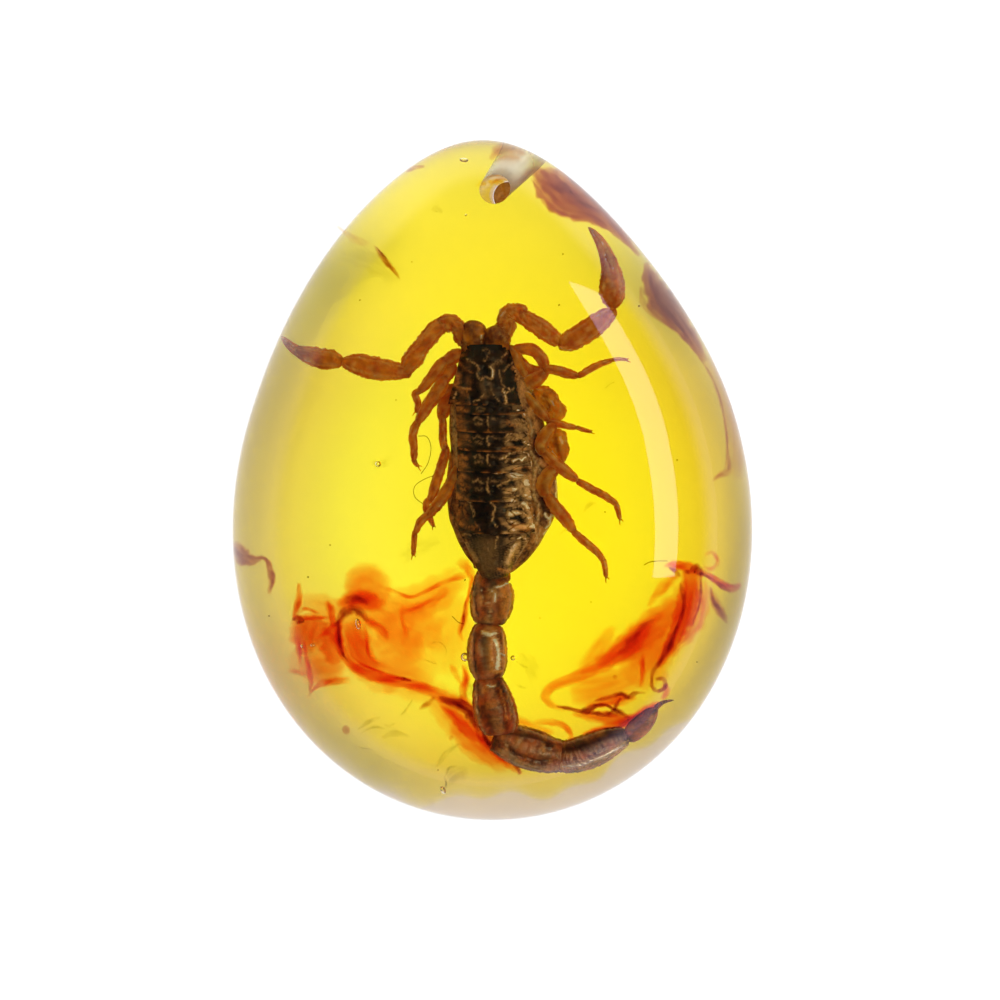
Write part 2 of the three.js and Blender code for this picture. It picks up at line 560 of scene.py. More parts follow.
# %% The surround
world = bpy.data.worlds.new("studio")
bpy.context.scene.world = world
world.use_nodes = True
background = world.node_tree.nodes["Background"]
looking = Sum(world.node_tree, world.node_tree.nodes.new("ShaderNodeTexCoord").outputs["Generated"])
rightward, forward, upward = (
    looking.node("ShaderNodeSeparateXYZ", out=axis, Vector=looking) for axis in range(3))
low_band = 1 - upward.between(0.02, 0.28)
side_light = (rightward - forward * 0.6).between(-0.5, 0.9).mix((1.2, 1.09, 1.05), (1.5, 1.3, 1.75))
put(world.node_tree, low_band.mix((0.04, 0.04, 0.04), side_light), background.inputs["Color"])

# %% The strip light
def softbox(name, place, width, length, brightness):
    """A flat light that faces the drop's middle; brightness is what a mirror would show."""
    data = bpy.data.lights.new(name, "AREA")
    data.shape = "RECTANGLE"
    data.size = width
    data.size_y = length
    data.energy = brightness * math.pi * width * length
    box = bpy.data.objects.new(name, data)
    bpy.context.collection.objects.link(box)
    box.location = place
    back = box.location.normalized()
    across = Vector((0, 1, 0)).cross(back).normalized()
    turned = Matrix((across, back.cross(across), back)).transposed()
    box.rotation_euler = turned.to_euler()
    box.visible_camera = False
    return box


strip = softbox("strip light", (0.61, 0.195, 0.45), 0.175, 0.71, 4.0)
strip.data.color = (0.74, 0.66, 1.0)
key = softbox("key light", (0.32, 0.22, 0.65), 0.44, 0.44, 8.2)
# No mirror shows the key light, as behind a polarising filter, so that it lays no veil over the scorpion
key.visible_glossy = False

# %% How the render treats light
scene = bpy.context.scene
scene.view_settings.view_transform = "Standard"
scene.cycles.max_bounces = 24
scene.cycles.transmission_bounces = 20
scene.cycles.diffuse_bounces = 6
scene.cycles.transparent_max_bounces = 24

# %% [markdown]
# ## Building what is sealed in the resin, as it is seen
# Everything inside is looked at through the dome, which bends each ray. So the pieces are drawn on the top
# view that an eye over the drop would see, and then each corner is moved to the place from which its ray
# really comes. The drawing uses a fine grid whose square is 0.0765 mm: x runs right, y runs down from the
# tip, and z is the height over the back, in the same squares. The grid's point MIDDLE_X, MIDDLE_Y is the
# middle of the drop.

# %% Through the dome
HALVINGS = 22


def through_dome(points):
    """Where a drawn point lies: the eye's ray, bent at the dome by Snell's law, followed to its height."""
    eye = np.array(camera.location)
    aim = np.stack([(points[:, 0] - MIDDLE_X) * SQUARE, (MIDDLE_Y - points[:, 1]) * SQUARE,
                    np.full(len(points), RIM_HEIGHT)], axis=1)
    ray = aim - eye
    ray = ray / np.linalg.norm(ray, axis=1, keepdims=True)
    near = (THICKNESS + 0.1 * MM - eye[2]) / ray[:, 2]
    far = (RIM_HEIGHT + 0.3 * MM - eye[2]) / ray[:, 2]
    for _ in range(HALVINGS):
        middle = (near + far) / 2
        spot = eye + ray * middle[:, None]
        outside = spot[:, 2] > dome_height(spot[:, 0], spot[:, 1])
        near = np.where(outside, middle, near)
        far = np.where(outside, far, middle)
    spot = eye + ray * middle[:, None]
    normal = drop_normals(spot)
    facing = -np.sum(ray * normal, axis=1)
    share = 1 / RESIN_IOR
    inner = np.sqrt(1 - share ** 2 * (1 - facing ** 2))
    bent = share * ray + (share * facing - inner)[:, None] * normal
    depth = (points[:, 2] * SQUARE - spot[:, 2]) / bent[:, 2]
    return spot + bent * depth[:, None]


def sealed_piece(name, grids, material, wrap=True):
    """One piece from grids of drawn points and their marks; equal corners merge, and faces turn outwards."""
    points = np.concatenate([grid["points"].reshape(-1, 3) for grid in grids])
    faces = []
    first = 0
    for grid in grids:
        rows, columns = grid["points"].shape[:2]
        faces.append(grid_faces(rows, columns, wrap) + first)
        first += rows * columns
    places = through_dome(points)
    faces = np.concatenate(faces)
    first, second, third, fourth = (places[faces[:, corner]] for corner in range(4))
    volume = np.sum(first * (np.cross(second, third) + np.cross(third, fourth)))
    if volume < 0:
        faces = faces[:, ::-1]
    mesh = bpy.data.meshes.new(name)
    mesh.from_pydata(places.tolist(), [], faces.tolist())
    for mark in grids[0]["marks"]:
        values = np.concatenate([grid["marks"][mark].ravel() for grid in grids])
        layer = mesh.attributes.new(mark, "FLOAT", "POINT")
        layer.data.foreach_set("value", values.astype(np.float32))
    work = bmesh.new()
    work.from_mesh(mesh)
    bmesh.ops.remove_doubles(work, verts=work.verts, dist=2e-7)
    work.to_mesh(mesh)
    work.free()
    mesh.polygons.foreach_set("use_smooth", np.ones(len(mesh.polygons), dtype=bool))
    mesh.update()
    counts.append(len(mesh.polygons))
    return add_piece(name, mesh, material)


counts = []

# %% [markdown]
# ## A profile carried along a path
# Legs, claws and tail rings are closed horny tubes. Each one is a profile that is carried along a smooth path
# of a few knots, with a half width at each knot. The tube rounds off to a point at both ends, so it is a
# closed shell, and its neighbours overlap it as the real joints do.
#
# Keels, folds, pale spots and painted highlights are strokes on such a surface: a line of a few points,
# round which the height, the paleness, the darkness or the amber tint falls off smoothly.

# %% Smooth runs and seeded ripples
def smooth_run(knots, steps):
    """A Catmull-Rom run through knots, at stations that crowd together near both ends."""
    knots = np.asarray(knots, dtype=float)
    padded = np.concatenate([[2 * knots[0] - knots[1]], knots, [2 * knots[-1] - knots[-2]]])
    station = (1 - np.cos(np.linspace(0, math.pi, steps))) / 2
    place = station * (len(knots) - 1)
    index = np.minimum(place.astype(int), len(knots) - 2)
    share = (place - index)[:, None]
    before, start, end, after = (padded[index + step] for step in range(4))
    bend = 2 * before - 5 * start + 4 * end - after
    twist = 3 * (start - end) + after - before
    return 0.5 * (2 * start + (end - before) * share + bend * share ** 2 + twist * share ** 3), station


def ripples(x, y, size, seed):
    """Smooth noise from -1 to 1: nine sine waves in seeded directions, of lengths round the given size."""
    rng = np.random.default_rng(seed)
    total = 0
    for _ in range(9):
        heading = rng.uniform(0, 2 * math.pi)
        pitch = 2 * math.pi / (size * rng.uniform(0.7, 1.6))
        phase = rng.uniform(0, 2 * math.pi)
        total = total + np.sin((x * np.cos(heading) + y * np.sin(heading)) * pitch + phase)
    return total / 4.5


# %% Strokes on a surface
def strokes_on(x, y, strokes, seed=0):
    """Height and marks of strokes: each is strength * e^-(distance / breadth)^2, a little shaken."""
    shaken_x = x + 0.7 * ripples(x, y, 6, seed + 50)
    shaken_y = y + 0.7 * ripples(x, y, 6, seed + 51)
    patchy = 1 + 0.3 * ripples(x, y, 2.2, seed + 52)
    broken = np.clip(0.75 + 0.8 * ripples(x, y, 3.2, seed + 53), 0, 1)
    height = np.zeros_like(x)
    marks = {"pale": np.zeros_like(x), "dark": np.zeros_like(x), "amber": np.zeros_like(x)}
    for line, breadth, rise, mark, strength in strokes:
        nearest = np.full_like(x, 1e9)
        for (x0, y0), (x1, y1) in zip(line[:-1], line[1:]):
            long = max((x1 - x0) ** 2 + (y1 - y0) ** 2, 1e-9)
            share = np.clip(((shaken_x - x0) * (x1 - x0) + (shaken_y - y0) * (y1 - y0)) / long, 0, 1)
            apart = np.hypot(shaken_x - x0 - share * (x1 - x0), shaken_y - y0 - share * (y1 - y0))
            nearest = np.minimum(nearest, apart)
        weight = np.exp(-(nearest * patchy / breadth) ** 2)
        height = height + rise * weight
        solid = broken if breadth < 3 and strength < 1 else 0.95
        marks[mark] = np.maximum(marks[mark], strength * weight * solid)
    return height, marks


# %% The tube
def tube(knots, flat=0.8, sides=24, steps=None, corner=1.0, keels=(), rough=0.03, round_ends=(1.0, 1.0),
         seed=1, dark_ends=0.5, strokes=(), streaks=0.5, middle_shade=0.35):
    """Rings round a smooth run: half width times a circle, squarer with corner under 1, and raised keels."""
    length = np.sum(np.linalg.norm(np.diff(np.asarray(knots)[:, :3], axis=0), axis=1))
    steps = steps or int(np.clip(length / 1.1, 16, 90))
    run, station = smooth_run(knots, steps)
    centre = run[:, :3]
    half = np.maximum(run[:, 3], 0.3)
    ahead = np.gradient(centre, axis=0)
    ahead = ahead / np.linalg.norm(ahead, axis=1, keepdims=True).clip(1e-9)
    side = np.cross(ahead, [0, 0, 1])
    side = side / np.linalg.norm(side, axis=1, keepdims=True).clip(1e-9)
    up = np.cross(side, ahead)
    travelled = station * length
    taper = np.ones(steps)
    for end, along in ((round_ends[0], travelled), (round_ends[1], length - travelled)):
        reach = np.clip(along / (end * half.max()).clip(1e-6), 0, 1)
        taper = taper * np.sqrt(1 - (1 - reach) ** 2)
    turn = np.linspace(0, 2 * math.pi, sides, endpoint=False)
    across = np.sign(np.cos(turn)) * np.abs(np.cos(turn)) ** corner
    over = np.sign(np.sin(turn)) * np.abs(np.sin(turn)) ** corner
    swell = np.ones((steps, sides))
    pale = np.zeros((steps, sides))
    far = travelled[:, None] + turn * 0
    wide = half.mean() * np.cos(turn) * 1.2 + far * 0
    deep = half.mean() * np.sin(turn) * 1.2
    for angle, rise, breadth in keels:
        apart = np.abs((turn - math.radians(angle) + math.pi) % (2 * math.pi) - math.pi)
        ridge = np.exp(-(apart / breadth) ** 2) * (1 + 0.5 * ripples(far, deep, 4, seed + 3))
        swell = swell + rise * ridge
        pale = pale + 6 * rise * ridge * smooth_step(station, 0.04, 0.2)[:, None]
    lumps = ripples(far + deep, wide, 6, seed) + 0.6 * ripples(far - deep, wide, 2.6, seed + 1)
    swell = swell + rough * lumps
    pale = pale + streaks * np.clip(ripples(far * 0.3, wide + deep, 4.5, seed + 4), 0, 1)
    radius = (half * taper)[:, None] * swell
    points = (centre[:, None] + side[:, None] * (radius * across)[..., None]
              + up[:, None] * (radius * over)[..., None] * flat)
    points[0] = centre[0]
    points[-1] = centre[-1]
    ends = np.minimum(travelled, length - travelled)
    dark = dark_ends * (1 - smooth_step(ends, 0, 0.7 * half.max()))[:, None] * np.ones(sides)
    # Painted shade: darker along the middle of the top and underside, where the tube is thickest and lets
    # less light through.
    thick_middle_shade = middle_shade * np.sin(turn) ** 4 * np.clip(0.7 + ripples(far * 0.5, wide, 5, seed + 9), 0, 1)
    dark = np.maximum(dark, thick_middle_shade)
    warm = np.clip(0.5 * ripples(far, wide + deep, 14, seed + 7), 0, 1)
    marks = {"pale": pale, "dark": dark, "amber": warm}
    if strokes:
        height, drawn = strokes_on(points[..., 0], points[..., 1], strokes, seed)
        top = np.clip(np.sin(turn) * 3, 0, 1)
        points[..., 2] = points[..., 2] + height * top
        marks = {name: np.maximum(mark, drawn[name] * top) for name, mark in marks.items()}
    return {"points": points, "marks": {name: np.clip(mark, 0, 1) for name, mark in marks.items()}}


# %% [markdown]
# ## Dried shell, in several shades
# The horny shell of a dried scorpion is near black on the back and a half see-through red-brown on the limbs,
# so light from behind warms it. All shades come from one recipe: a body colour that a slow noise mottles,
# paler ridges and darker joints where the piece's marks say so, fine grains in the bump, and a share of
# translucent light. The pale marks are partly paler shell and partly painted highlights and sheen, and the
# palest are painted near white. At the palest marks the shell has come away from the resin, and the film of
# air there glints like a coat of lacquer. The dark marks are partly darker joints and partly painted shade,
# along the thick middle of the tubes and at the front of each back plate.

# %% The shell's finish
def shell_finish(name, deep, body, pale, through, gloss=0.3, grain=0.5, shine=0.3, darkest=0.3,
                 amber=(0.5, 0.15, 0.03)):
    """Mottled between deep and body, paler by its marks; the share through of the light passes on inwards."""
    material, shader, at = new_material(name, IOR=1.45, Specular_IOR_Level=shine,
                                        Specular_Tint=(1.0, 0.85, 0.7), Coat_IOR=2.3, Coat_Roughness=0.16)
    slow = at.node("ShaderNodeTexNoise", Vector=at, Scale=900.0, Detail=3.0, Roughness=0.6)
    fine = at.node("ShaderNodeTexNoise", Vector=at, Scale=4200.0, Detail=3.0, Roughness=0.65)
    cells = at.node("ShaderNodeTexVoronoi", Vector=at, Scale=6500.0)
    pale_mark, dark_mark, amber_mark = (
        at.node("ShaderNodeAttribute", {"attribute_name": mark}, out=2) for mark in ("pale", "dark", "amber"))
    mottled = (slow.between(0.38, 0.64) * 0.75 + fine.between(0.42, 0.62) * 0.25).mix(deep, body)
    warmed = (amber_mark * (0.4 + fine.between(0.3, 0.55) * 0.6)).mix(mottled, amber)
    shaded = (dark_mark * (0.6 + fine * 0.6)).mix(warmed, tuple(darkest * part for part in deep))
    pale_and_highlit = (pale_mark * (0.7 + fine.between(0.4, 0.56) * 0.3)).mix(shaded, pale)
    # Painted highlight: where the pale marks are strongest, the colour is painted near white.
    glint = pale_mark.between(0.7, 0.95) * (0.55 + fine.between(0.4, 0.55) * 0.45)
    bright = glint.mix(pale_and_highlit, (0.98, 0.9, 0.8))
    relief = at.node("ShaderNodeBump", Height=fine + cells * 0.4, Strength=grain, Distance=0.06 * MM)
    put(at.tree, bright, shader.inputs["Base Color"])
    put(at.tree, gloss + slow * 0.2 - pale_mark * 0.1, shader.inputs["Roughness"])
    put(at.tree, relief, shader.inputs["Normal"])
    put(at.tree, pale_mark.between(0.5, 0.85), shader.inputs["Coat Weight"])
    if through > 0:
        glow = at.node("ShaderNodeBsdfTranslucent", Color=bright, Normal=relief)
        both = at.node("ShaderNodeMixShader", i0=through, i1=Sum(at.tree, shader.outputs["BSDF"]), i2=glow)
        put(at.tree, both, at.tree.nodes["Material Output"].inputs["Surface"])
    return material


dark_shell = shell_finish("near-black back shell", (0.003, 0.001, 0.0004), (0.024, 0.007, 0.002),
                          (1.0, 0.5, 0.22), 0.03, gloss=0.1, grain=0.1, shine=0.14)
brown_shell = shell_finish("red-brown limb shell", (0.76, 0.18, 0.01), (1.0, 0.45, 0.03),
                           (1.0, 0.75, 0.22), 0.68, grain=0.3, shine=0.25)
tail_shell = shell_finish("brown tail shell", (0.13, 0.022, 0.005), (0.7, 0.14, 0.028),
                          (1.0, 0.62, 0.32), 0.3, gloss=0.08, grain=0.1, shine=0.35, darkest=0.08,
                          amber=(0.98, 0.36, 0.06))
ruddy_shell = shell_finish("red-brown tail shell", (0.13, 0.013, 0.002), (0.68, 0.085, 0.012),
                           (1.0, 0.62, 0.32), 0.3, gloss=0.08, grain=0.05, shine=0.3, darkest=0.08,
                           amber=(0.98, 0.3, 0.04))
jaw_shell = shell_finish("dark amber jaw shell", (0.22, 0.04, 0.003), (0.82, 0.25, 0.012),
                         (1.0, 0.6, 0.2), 0.35, gloss=0.14, grain=0.2, shine=0.2)
lobe_skin = shell_finish("amber skin of folded joints", (1.0, 0.4, 0.02), (1.0, 0.6, 0.05),
                         (1.0, 0.8, 0.24), 0.8, gloss=0.25, grain=0.5, shine=0.2, darkest=0.12)
soft_skin = shell_finish("tan skin between the plates", (0.12, 0.032, 0.008), (0.8, 0.33, 0.1),
                         (1.0, 0.66, 0.34), 0.3, gloss=0.12, grain=0.25, shine=0.3)

# %% [markdown]
# ## Pincers and their arms
# Each arm is a chain of five horny pieces: two short knobbly ones at the body, an upper arm, a forearm with
# raised lengthwise ridges, and the hand, whose thumb moves against a fixed finger. Each piece is its own
# tube.

# %% Arms
RIDGED = ((8, 0.1, 0.2), (55, 0.07, 0.14), (125, 0.07, 0.14), (172, 0.1, 0.2), (250, 0.08, 0.3))
ARMS = {
    "arm_right_hip": [(500, 338, 92, 8), (505, 328, 94, 9), (506, 318, 94, 8), (512, 312, 92, 6)],
    "arm_right_knob": [(503, 322, 90, 6), (509, 314, 92, 8.5), (519, 311, 92, 7), (526, 314, 90, 5)],
    "arm_right_upper": [(516, 314, 92, 6), (530, 321, 92, 8), (546, 332, 92, 8.5), (560, 343, 90, 6)],
    "arm_right_fore": [(557, 343, 90, 5.5), (569, 341, 90, 9.5), (587, 331, 88, 10.5), (603, 319, 87, 9),
                       (616, 309, 86, 4)],
    "arm_right_hand": [(614, 309, 86, 4), (613, 300, 86, 10), (612, 288, 85, 12), (612, 277, 84, 10.5),
                       (610, 264, 83, 7.5), (606, 252, 82, 5.5)],
    "arm_left_hip": [(466, 345, 92, 6), (462, 336, 94, 7.5), (458, 327, 94, 7), (450, 322, 92, 5.5)],
    "arm_left_knob": [(462, 330, 90, 6), (452, 323, 92, 8), (444, 324, 92, 8), (436, 327, 90, 5)],
    "arm_left_upper": [(447, 321, 92, 6), (434, 331, 92, 8.5), (422, 346, 91, 8), (413, 359, 88, 9.5),
                       (403, 374, 86, 5)],
    "arm_left_fore": [(412, 373, 86, 4.5), (398, 371, 86, 8), (378, 369, 84, 10.5), (357, 364, 80, 9.5),
                      (341, 362, 76, 4)],
    "arm_left_hand": [(343, 363, 76, 4.5), (333, 360, 74, 9), (320, 358, 70, 9.8), (306, 354, 64, 7.5),
                      (296, 350, 60, 4.5)],
}
# Pale strokes along the arms are partly paler ridges, partly painted highlights along their edges.
ARM_MARKS = (
    (((558, 348), (572, 351), (590, 346), (604, 332)), 1.3, 1.5, "pale", 1.0),
    (((566, 342), (585, 335), (600, 322)), 4.5, -0.8, "dark", 0.4),
    (((522, 315), (535, 322), (549, 333)), 1.2, 1.2, "pale", 0.7),
    (((530, 328), (545, 340), (556, 347)), 1.2, 1.2, "pale", 0.6),
    (((606, 306), (603, 296), (602, 284)), 1.2, 1.2, "pale", 0.6),
    (((620, 304), (622, 290), (619, 276), (613, 262)), 1.5, 1.0, "pale", 0.6),
    (((610, 300), (611, 285), (608, 268)), 4.0, -0.6, "pale", 0.3),
    (((440, 320), (428, 331), (418, 346)), 1.2, 1.2, "pale", 0.6),
    (((448, 330), (436, 343), (424, 360)), 1.3, 1.2, "pale", 0.7),
    (((400, 378), (380, 378), (358, 371), (345, 366)), 1.3, 1.2, "pale", 0.8),
    (((395, 366), (376, 362), (358, 357)), 1.2, 1.0, "pale", 0.5),
    (((340, 357), (325, 352), (308, 349)), 1.2, 1.0, "pale", 0.5),
    (((338, 364), (322, 364), (306, 360)), 1.5, -0.5, "dark", 0.4),
    (((400, 372), (378, 369), (357, 364)), 8.0, 0.0, "dark", 0.14),
    (((502, 330), (508, 318), (516, 309)), 2.0, 1.5, "pale", 0.5),
    (((470, 336), (460, 327), (450, 320)), 2.0, 1.5, "pale", 0.4),
)
for number, (name, knots) in enumerate(ARMS.items()):
    slender = name.endswith(("hip", "knob"))
    arm = tube(knots, flat=0.8, sides=48, steps=80, corner=0.8 if slender else 0.72, keels=RIDGED,
               rough=0.14 if slender else 0.08, round_ends=(0.35, 0.35), seed=20 + number, dark_ends=0.3,
               strokes=ARM_MARKS)
    sealed_piece(name, [arm], brown_shell)

FINGERS = {
    "finger_right_fixed": [(609, 284, 84, 9), (608, 268, 83, 7), (604, 255, 82, 5), (599, 243, 81, 3.8),
                           (593, 233, 80, 2.6), (588, 227, 79, 1.2)],
    "finger_right_thumb": [(616, 286, 85, 8), (613, 268, 84, 6.5), (609, 255, 83, 5), (603, 243, 82, 3.8),
                           (595, 233, 81, 2.6), (589, 227, 80, 1.2)],
    "finger_left_fixed": [(310, 354, 65, 6), (300, 351, 60, 5), (292, 346, 56, 3.8), (286, 341, 52, 2.8),
                          (281, 336, 48, 1.2)],
    "finger_left_thumb": [(310, 358, 66, 5.5), (300, 354, 61, 4.5), (292, 349, 57, 3.4), (286, 343, 53, 2.6),
                          (281, 337, 49, 1.2)],
}
for number, (name, knots) in enumerate(FINGERS.items()):
    finger = tube(knots, flat=0.9, sides=24, steps=60, keels=((90, 0.1, 0.4), (270, 0.1, 0.4)),
                  seed=40 + number, round_ends=(0.8, 1.5))
    sealed_piece(name, [finger], brown_shell)
print("arms and fingers:", len(ARMS) + len(FINGERS), "pieces,", sum(counts), "faces so far")

# %% [markdown]
# ## Eight walking legs
# A leg is a chain of tubes that get thinner towards the foot, which ends in two hooked claws. Drying has
# folded the legs in under the body, so some thick upper pieces show as broad amber lobes beside it. The
# pieces of one leg are shells in one mesh, because thin skin joins them, and its lobes are a piece of their
# own.

# %% Legs
def claws(x, y, z, heading, size=7.0):
    """Two thin hooks that leave the foot 50 and 20 degrees off its heading and bend a little inwards."""
    hooks = []
    for sway, reach in ((-0.85, 0.7), (0.35, 1.0)):
        angle = math.radians(heading) + sway
        middle = (x + 0.5 * size * reach * math.cos(angle), y + 0.5 * size * reach * math.sin(angle), z, 0.5)
        bend = angle - 0.6 * sway
        tip = (middle[0] + 0.4 * size * reach * math.cos(bend),
               middle[1] + 0.4 * size * reach * math.sin(bend), z - 1, 0.3)
        hooks.append([(x, y, z, 0.8), middle, tip])
    return hooks


LEGS = {
    "leg_right_1": [
        [(505, 346, 86, 3.5), (512, 352, 87, 6), (517, 362, 88, 6.5), (522, 374, 88, 6), (529, 386, 86, 3.5)],
        [(512, 350, 84, 5), (522, 349, 86, 5.5), (533, 350, 88, 6), (542, 359, 90, 6), (546, 369, 90, 5)],
        [(516, 352, 80, 4), (521, 362, 82, 5), (530, 370, 84, 6), (541, 371, 86, 5), (547, 369, 88, 4)],
        [(543, 369, 90, 4), (556, 370, 91, 5), (569, 374, 91, 4.8), (579, 376, 90, 3)],
        [(577, 377, 90, 3), (590, 369, 89, 3.6), (603, 363, 88, 3), (613, 360, 87, 2.2)],
        [(611, 360, 87, 2.2), (620, 359, 86, 1.8), (628, 360, 85, 1.2)], *claws(626, 360, 85, 10, 6)],
    "leg_right_2": [
        [(549, 371, 88, 4), (538, 378, 88, 7), (526, 385, 88, 7.5), (517, 391, 88, 4)],
        [(518, 388, 92, 4), (527, 398, 94, 5.5), (538, 409, 94, 5.5), (549, 421, 93, 4)],
        [(546, 421, 92, 3.6), (556, 423, 92, 4), (567, 426, 91, 3.4), (577, 428, 90, 2.4)],
        [(576, 427, 90, 2.4), (584, 430, 89, 2.1), (592, 432, 88, 1.6)], *claws(590, 432, 88, 5, 6)],
    "leg_right_3": [
        [(534, 388, 72, 5), (542, 395, 72, 9.5), (550, 403, 73, 10), (555, 413, 74, 9.2), (552, 422, 76, 4)],
        [(556, 424, 92, 4), (547, 433, 98, 6.5), (541, 446, 101, 6.5), (545, 456, 99, 4)],
        [(541, 447, 101, 4), (551, 459, 99, 5.5), (564, 470, 96, 6), (578, 481, 93, 3.6)],
        [(576, 480, 92, 3.4), (590, 488, 91, 4), (605, 496, 90, 3.8), (618, 505, 89, 2.8)],
        [(616, 503, 89, 2.8), (618, 511, 88, 2.8), (620, 520, 87, 1.8)], *claws(620, 519, 87, 75, 7)],
    "leg_right_4": [
        [(549, 430, 70, 5), (556, 438, 70, 9.5), (560, 449, 71, 9.6), (564, 462, 72, 4)],
        [(560, 466, 92, 4), (549, 474, 98, 7.5), (544, 487, 101, 7.5), (549, 499, 100, 4)],
        [(544, 492, 102, 4), (554, 505, 99, 6.2), (566, 520, 94, 6), (575, 533, 90, 3.6)],
        [(572, 530, 88, 3.4), (584, 541, 87, 4), (596, 551, 86, 3.6), (604, 561, 85, 2.8)],
        [(603, 558, 85, 2.8), (605, 568, 84, 2.8), (606, 578, 83, 1.8)], *claws(606, 577, 83, 75, 7)],
    "leg_left_1": [
        [(464, 352, 86, 6), (455, 356, 88, 7), (447, 361, 90, 6), (441, 365, 90, 4)],
        [(447, 358, 91, 4), (440, 366, 92, 6), (429, 381, 91, 5.5), (418, 393, 90, 3.6)],
        [(424, 389, 90, 3), (415, 394, 90, 3.6), (418, 403, 89, 3.4), (416, 413, 88, 2)],
        *claws(416, 411, 88, 110, 7)],
    "leg_left_2": [
        [(456, 364, 82, 6), (449, 370, 83, 8), (444, 378, 84, 7), (440, 388, 84, 4)],
        [(446, 376, 88, 4), (441, 386, 90, 7), (429, 404, 90, 6.5), (416, 425, 89, 4)],
        [(418, 420, 89, 4), (413, 434, 88, 4.2), (414, 448, 87, 4), (414, 461, 86, 2.8)],
        [(413, 458, 86, 2.6), (415, 463, 85, 2.4), (419, 467, 84, 1.4)], *claws(418, 466, 84, 45, 7)],
    "leg_left_3": [
        [(455, 384, 80, 6), (449, 396, 80, 8), (444, 410, 80, 7), (440, 421, 80, 3.6)],
        [(442, 414, 84, 3.6), (443, 427, 84, 4), (443, 441, 84, 4), (447, 454, 84, 3)],
        [(447, 446, 86, 3.4), (443, 461, 86, 4.8), (436, 483, 86, 5), (430, 502, 85, 3.6)],
        [(430, 498, 84, 3.6), (426, 506, 84, 3.6), (430, 518, 83, 3), (434, 527, 82, 2)],
        *claws(433, 525, 82, 80, 6)],
    "leg_left_4": [
        [(460, 440, 78, 6), (458, 455, 80, 8), (455, 470, 82, 7), (449, 482, 84, 4)],
        [(459, 464, 90, 4), (452, 481, 91, 5.8), (440, 501, 91, 6), (427, 517, 88, 4)],
        [(431, 513, 88, 3.6), (421, 521, 87, 4), (415, 534, 86, 3)],
        [(415, 530, 86, 2.8), (414, 543, 85, 2.9), (413, 556, 84, 2)], *claws(413, 554, 84, 90, 7)],
}
LOBE_MARKS = (
    (((545, 397), (550, 402), (549, 408)), 3.8, -2.0, "dark", 0.85),
    (((556, 438), (556, 444), (559, 450)), 4.0, -2.0, "dark", 0.85),
    (((536, 388), (549, 392), (560, 404), (561, 416)), 1.4, 1.5, "pale", 0.7),
    (((560, 430), (567, 442), (567, 456)), 1.4, 1.5, "pale", 0.7),
    (((548, 428), (546, 438), (549, 448)), 1.4, 1.5, "pale", 0.6),
    (((538, 402), (546, 413), (554, 418)), 1.4, 1.2, "pale", 0.6),
)
for number, (name, runs) in enumerate(LEGS.items()):
    grids = []
    lobes = []
    for step, knots in enumerate(runs):
        widest = max(knot[3] for knot in knots)
        thin = widest < 1.2
        lobe = widest > 9
        keels = () if thin else ((70, 0.07, 0.2), (150, 0.1, 0.25), (215, 0.06, 0.3))
        part = tube(knots, flat=0.85, sides=8 if thin else 48 if lobe else 22, steps=16 if thin else None,
                    corner=0.9, keels=keels, rough=0.0 if thin else 0.24 if lobe else 0.11,
                    strokes=LOBE_MARKS if lobe else (), seed=60 + 10 * number + step,
                    middle_shade=0.25 if lobe else 0.4, streaks=0.8 if lobe else 0.5)
        (lobes if lobe else grids).append(part)
    sealed_piece(name, grids, brown_shell)
    if lobes:
        sealed_piece(name + "_lobe", lobes, lobe_skin)
print("legs:", len(LEGS), "pieces,", sum(counts), "faces so far")

# %% [markdown]
# ## The tail
# Five ring segments, each a boxy barrel with raised keels and a narrow joint, curl round the heel of the drop
# to the swollen poison bulb and its curved sting.

# %% Tail segments
TAIL = {
    "tail_segment_1": [(494, 575, 91, 15), (492, 582, 92, 18), (492, 598, 93, 21.5), (490, 614, 92, 19),
                       (489, 624, 90, 14)],
    "tail_segment_2": [(489, 625, 90, 13), (488, 634, 92, 17), (487, 650, 93, 19.5), (488, 668, 92, 18),
                       (489, 679, 89, 12.5)],
    "tail_segment_3": [(489, 676, 89, 12.5), (490, 688, 90, 17), (494, 706, 90, 20.5), (498, 722, 89, 20),
                       (499, 735, 87, 15)],
    "tail_segment_4": [(494, 735, 86, 14), (508, 741, 84, 18), (527, 748, 82, 20), (546, 754, 80, 18.5),
                       (562, 756, 78, 15.5)],
    "tail_segment_5": [(555, 756, 78, 15), (572, 756, 76, 16.5), (592, 750, 74, 17), (610, 742, 72, 14.5),
                       (627, 735, 70, 9)],
    "poison_bulb": [(622, 738, 70, 5), (632, 733, 70, 9.5), (643, 723, 70, 10), (652, 713, 70, 7),
                    (658, 707, 70, 3)],
    "sting": [(654, 709, 70, 3.2), (662, 703, 71, 2.2), (668, 701, 72, 1.4), (674, 700, 73, 0.6)],
}
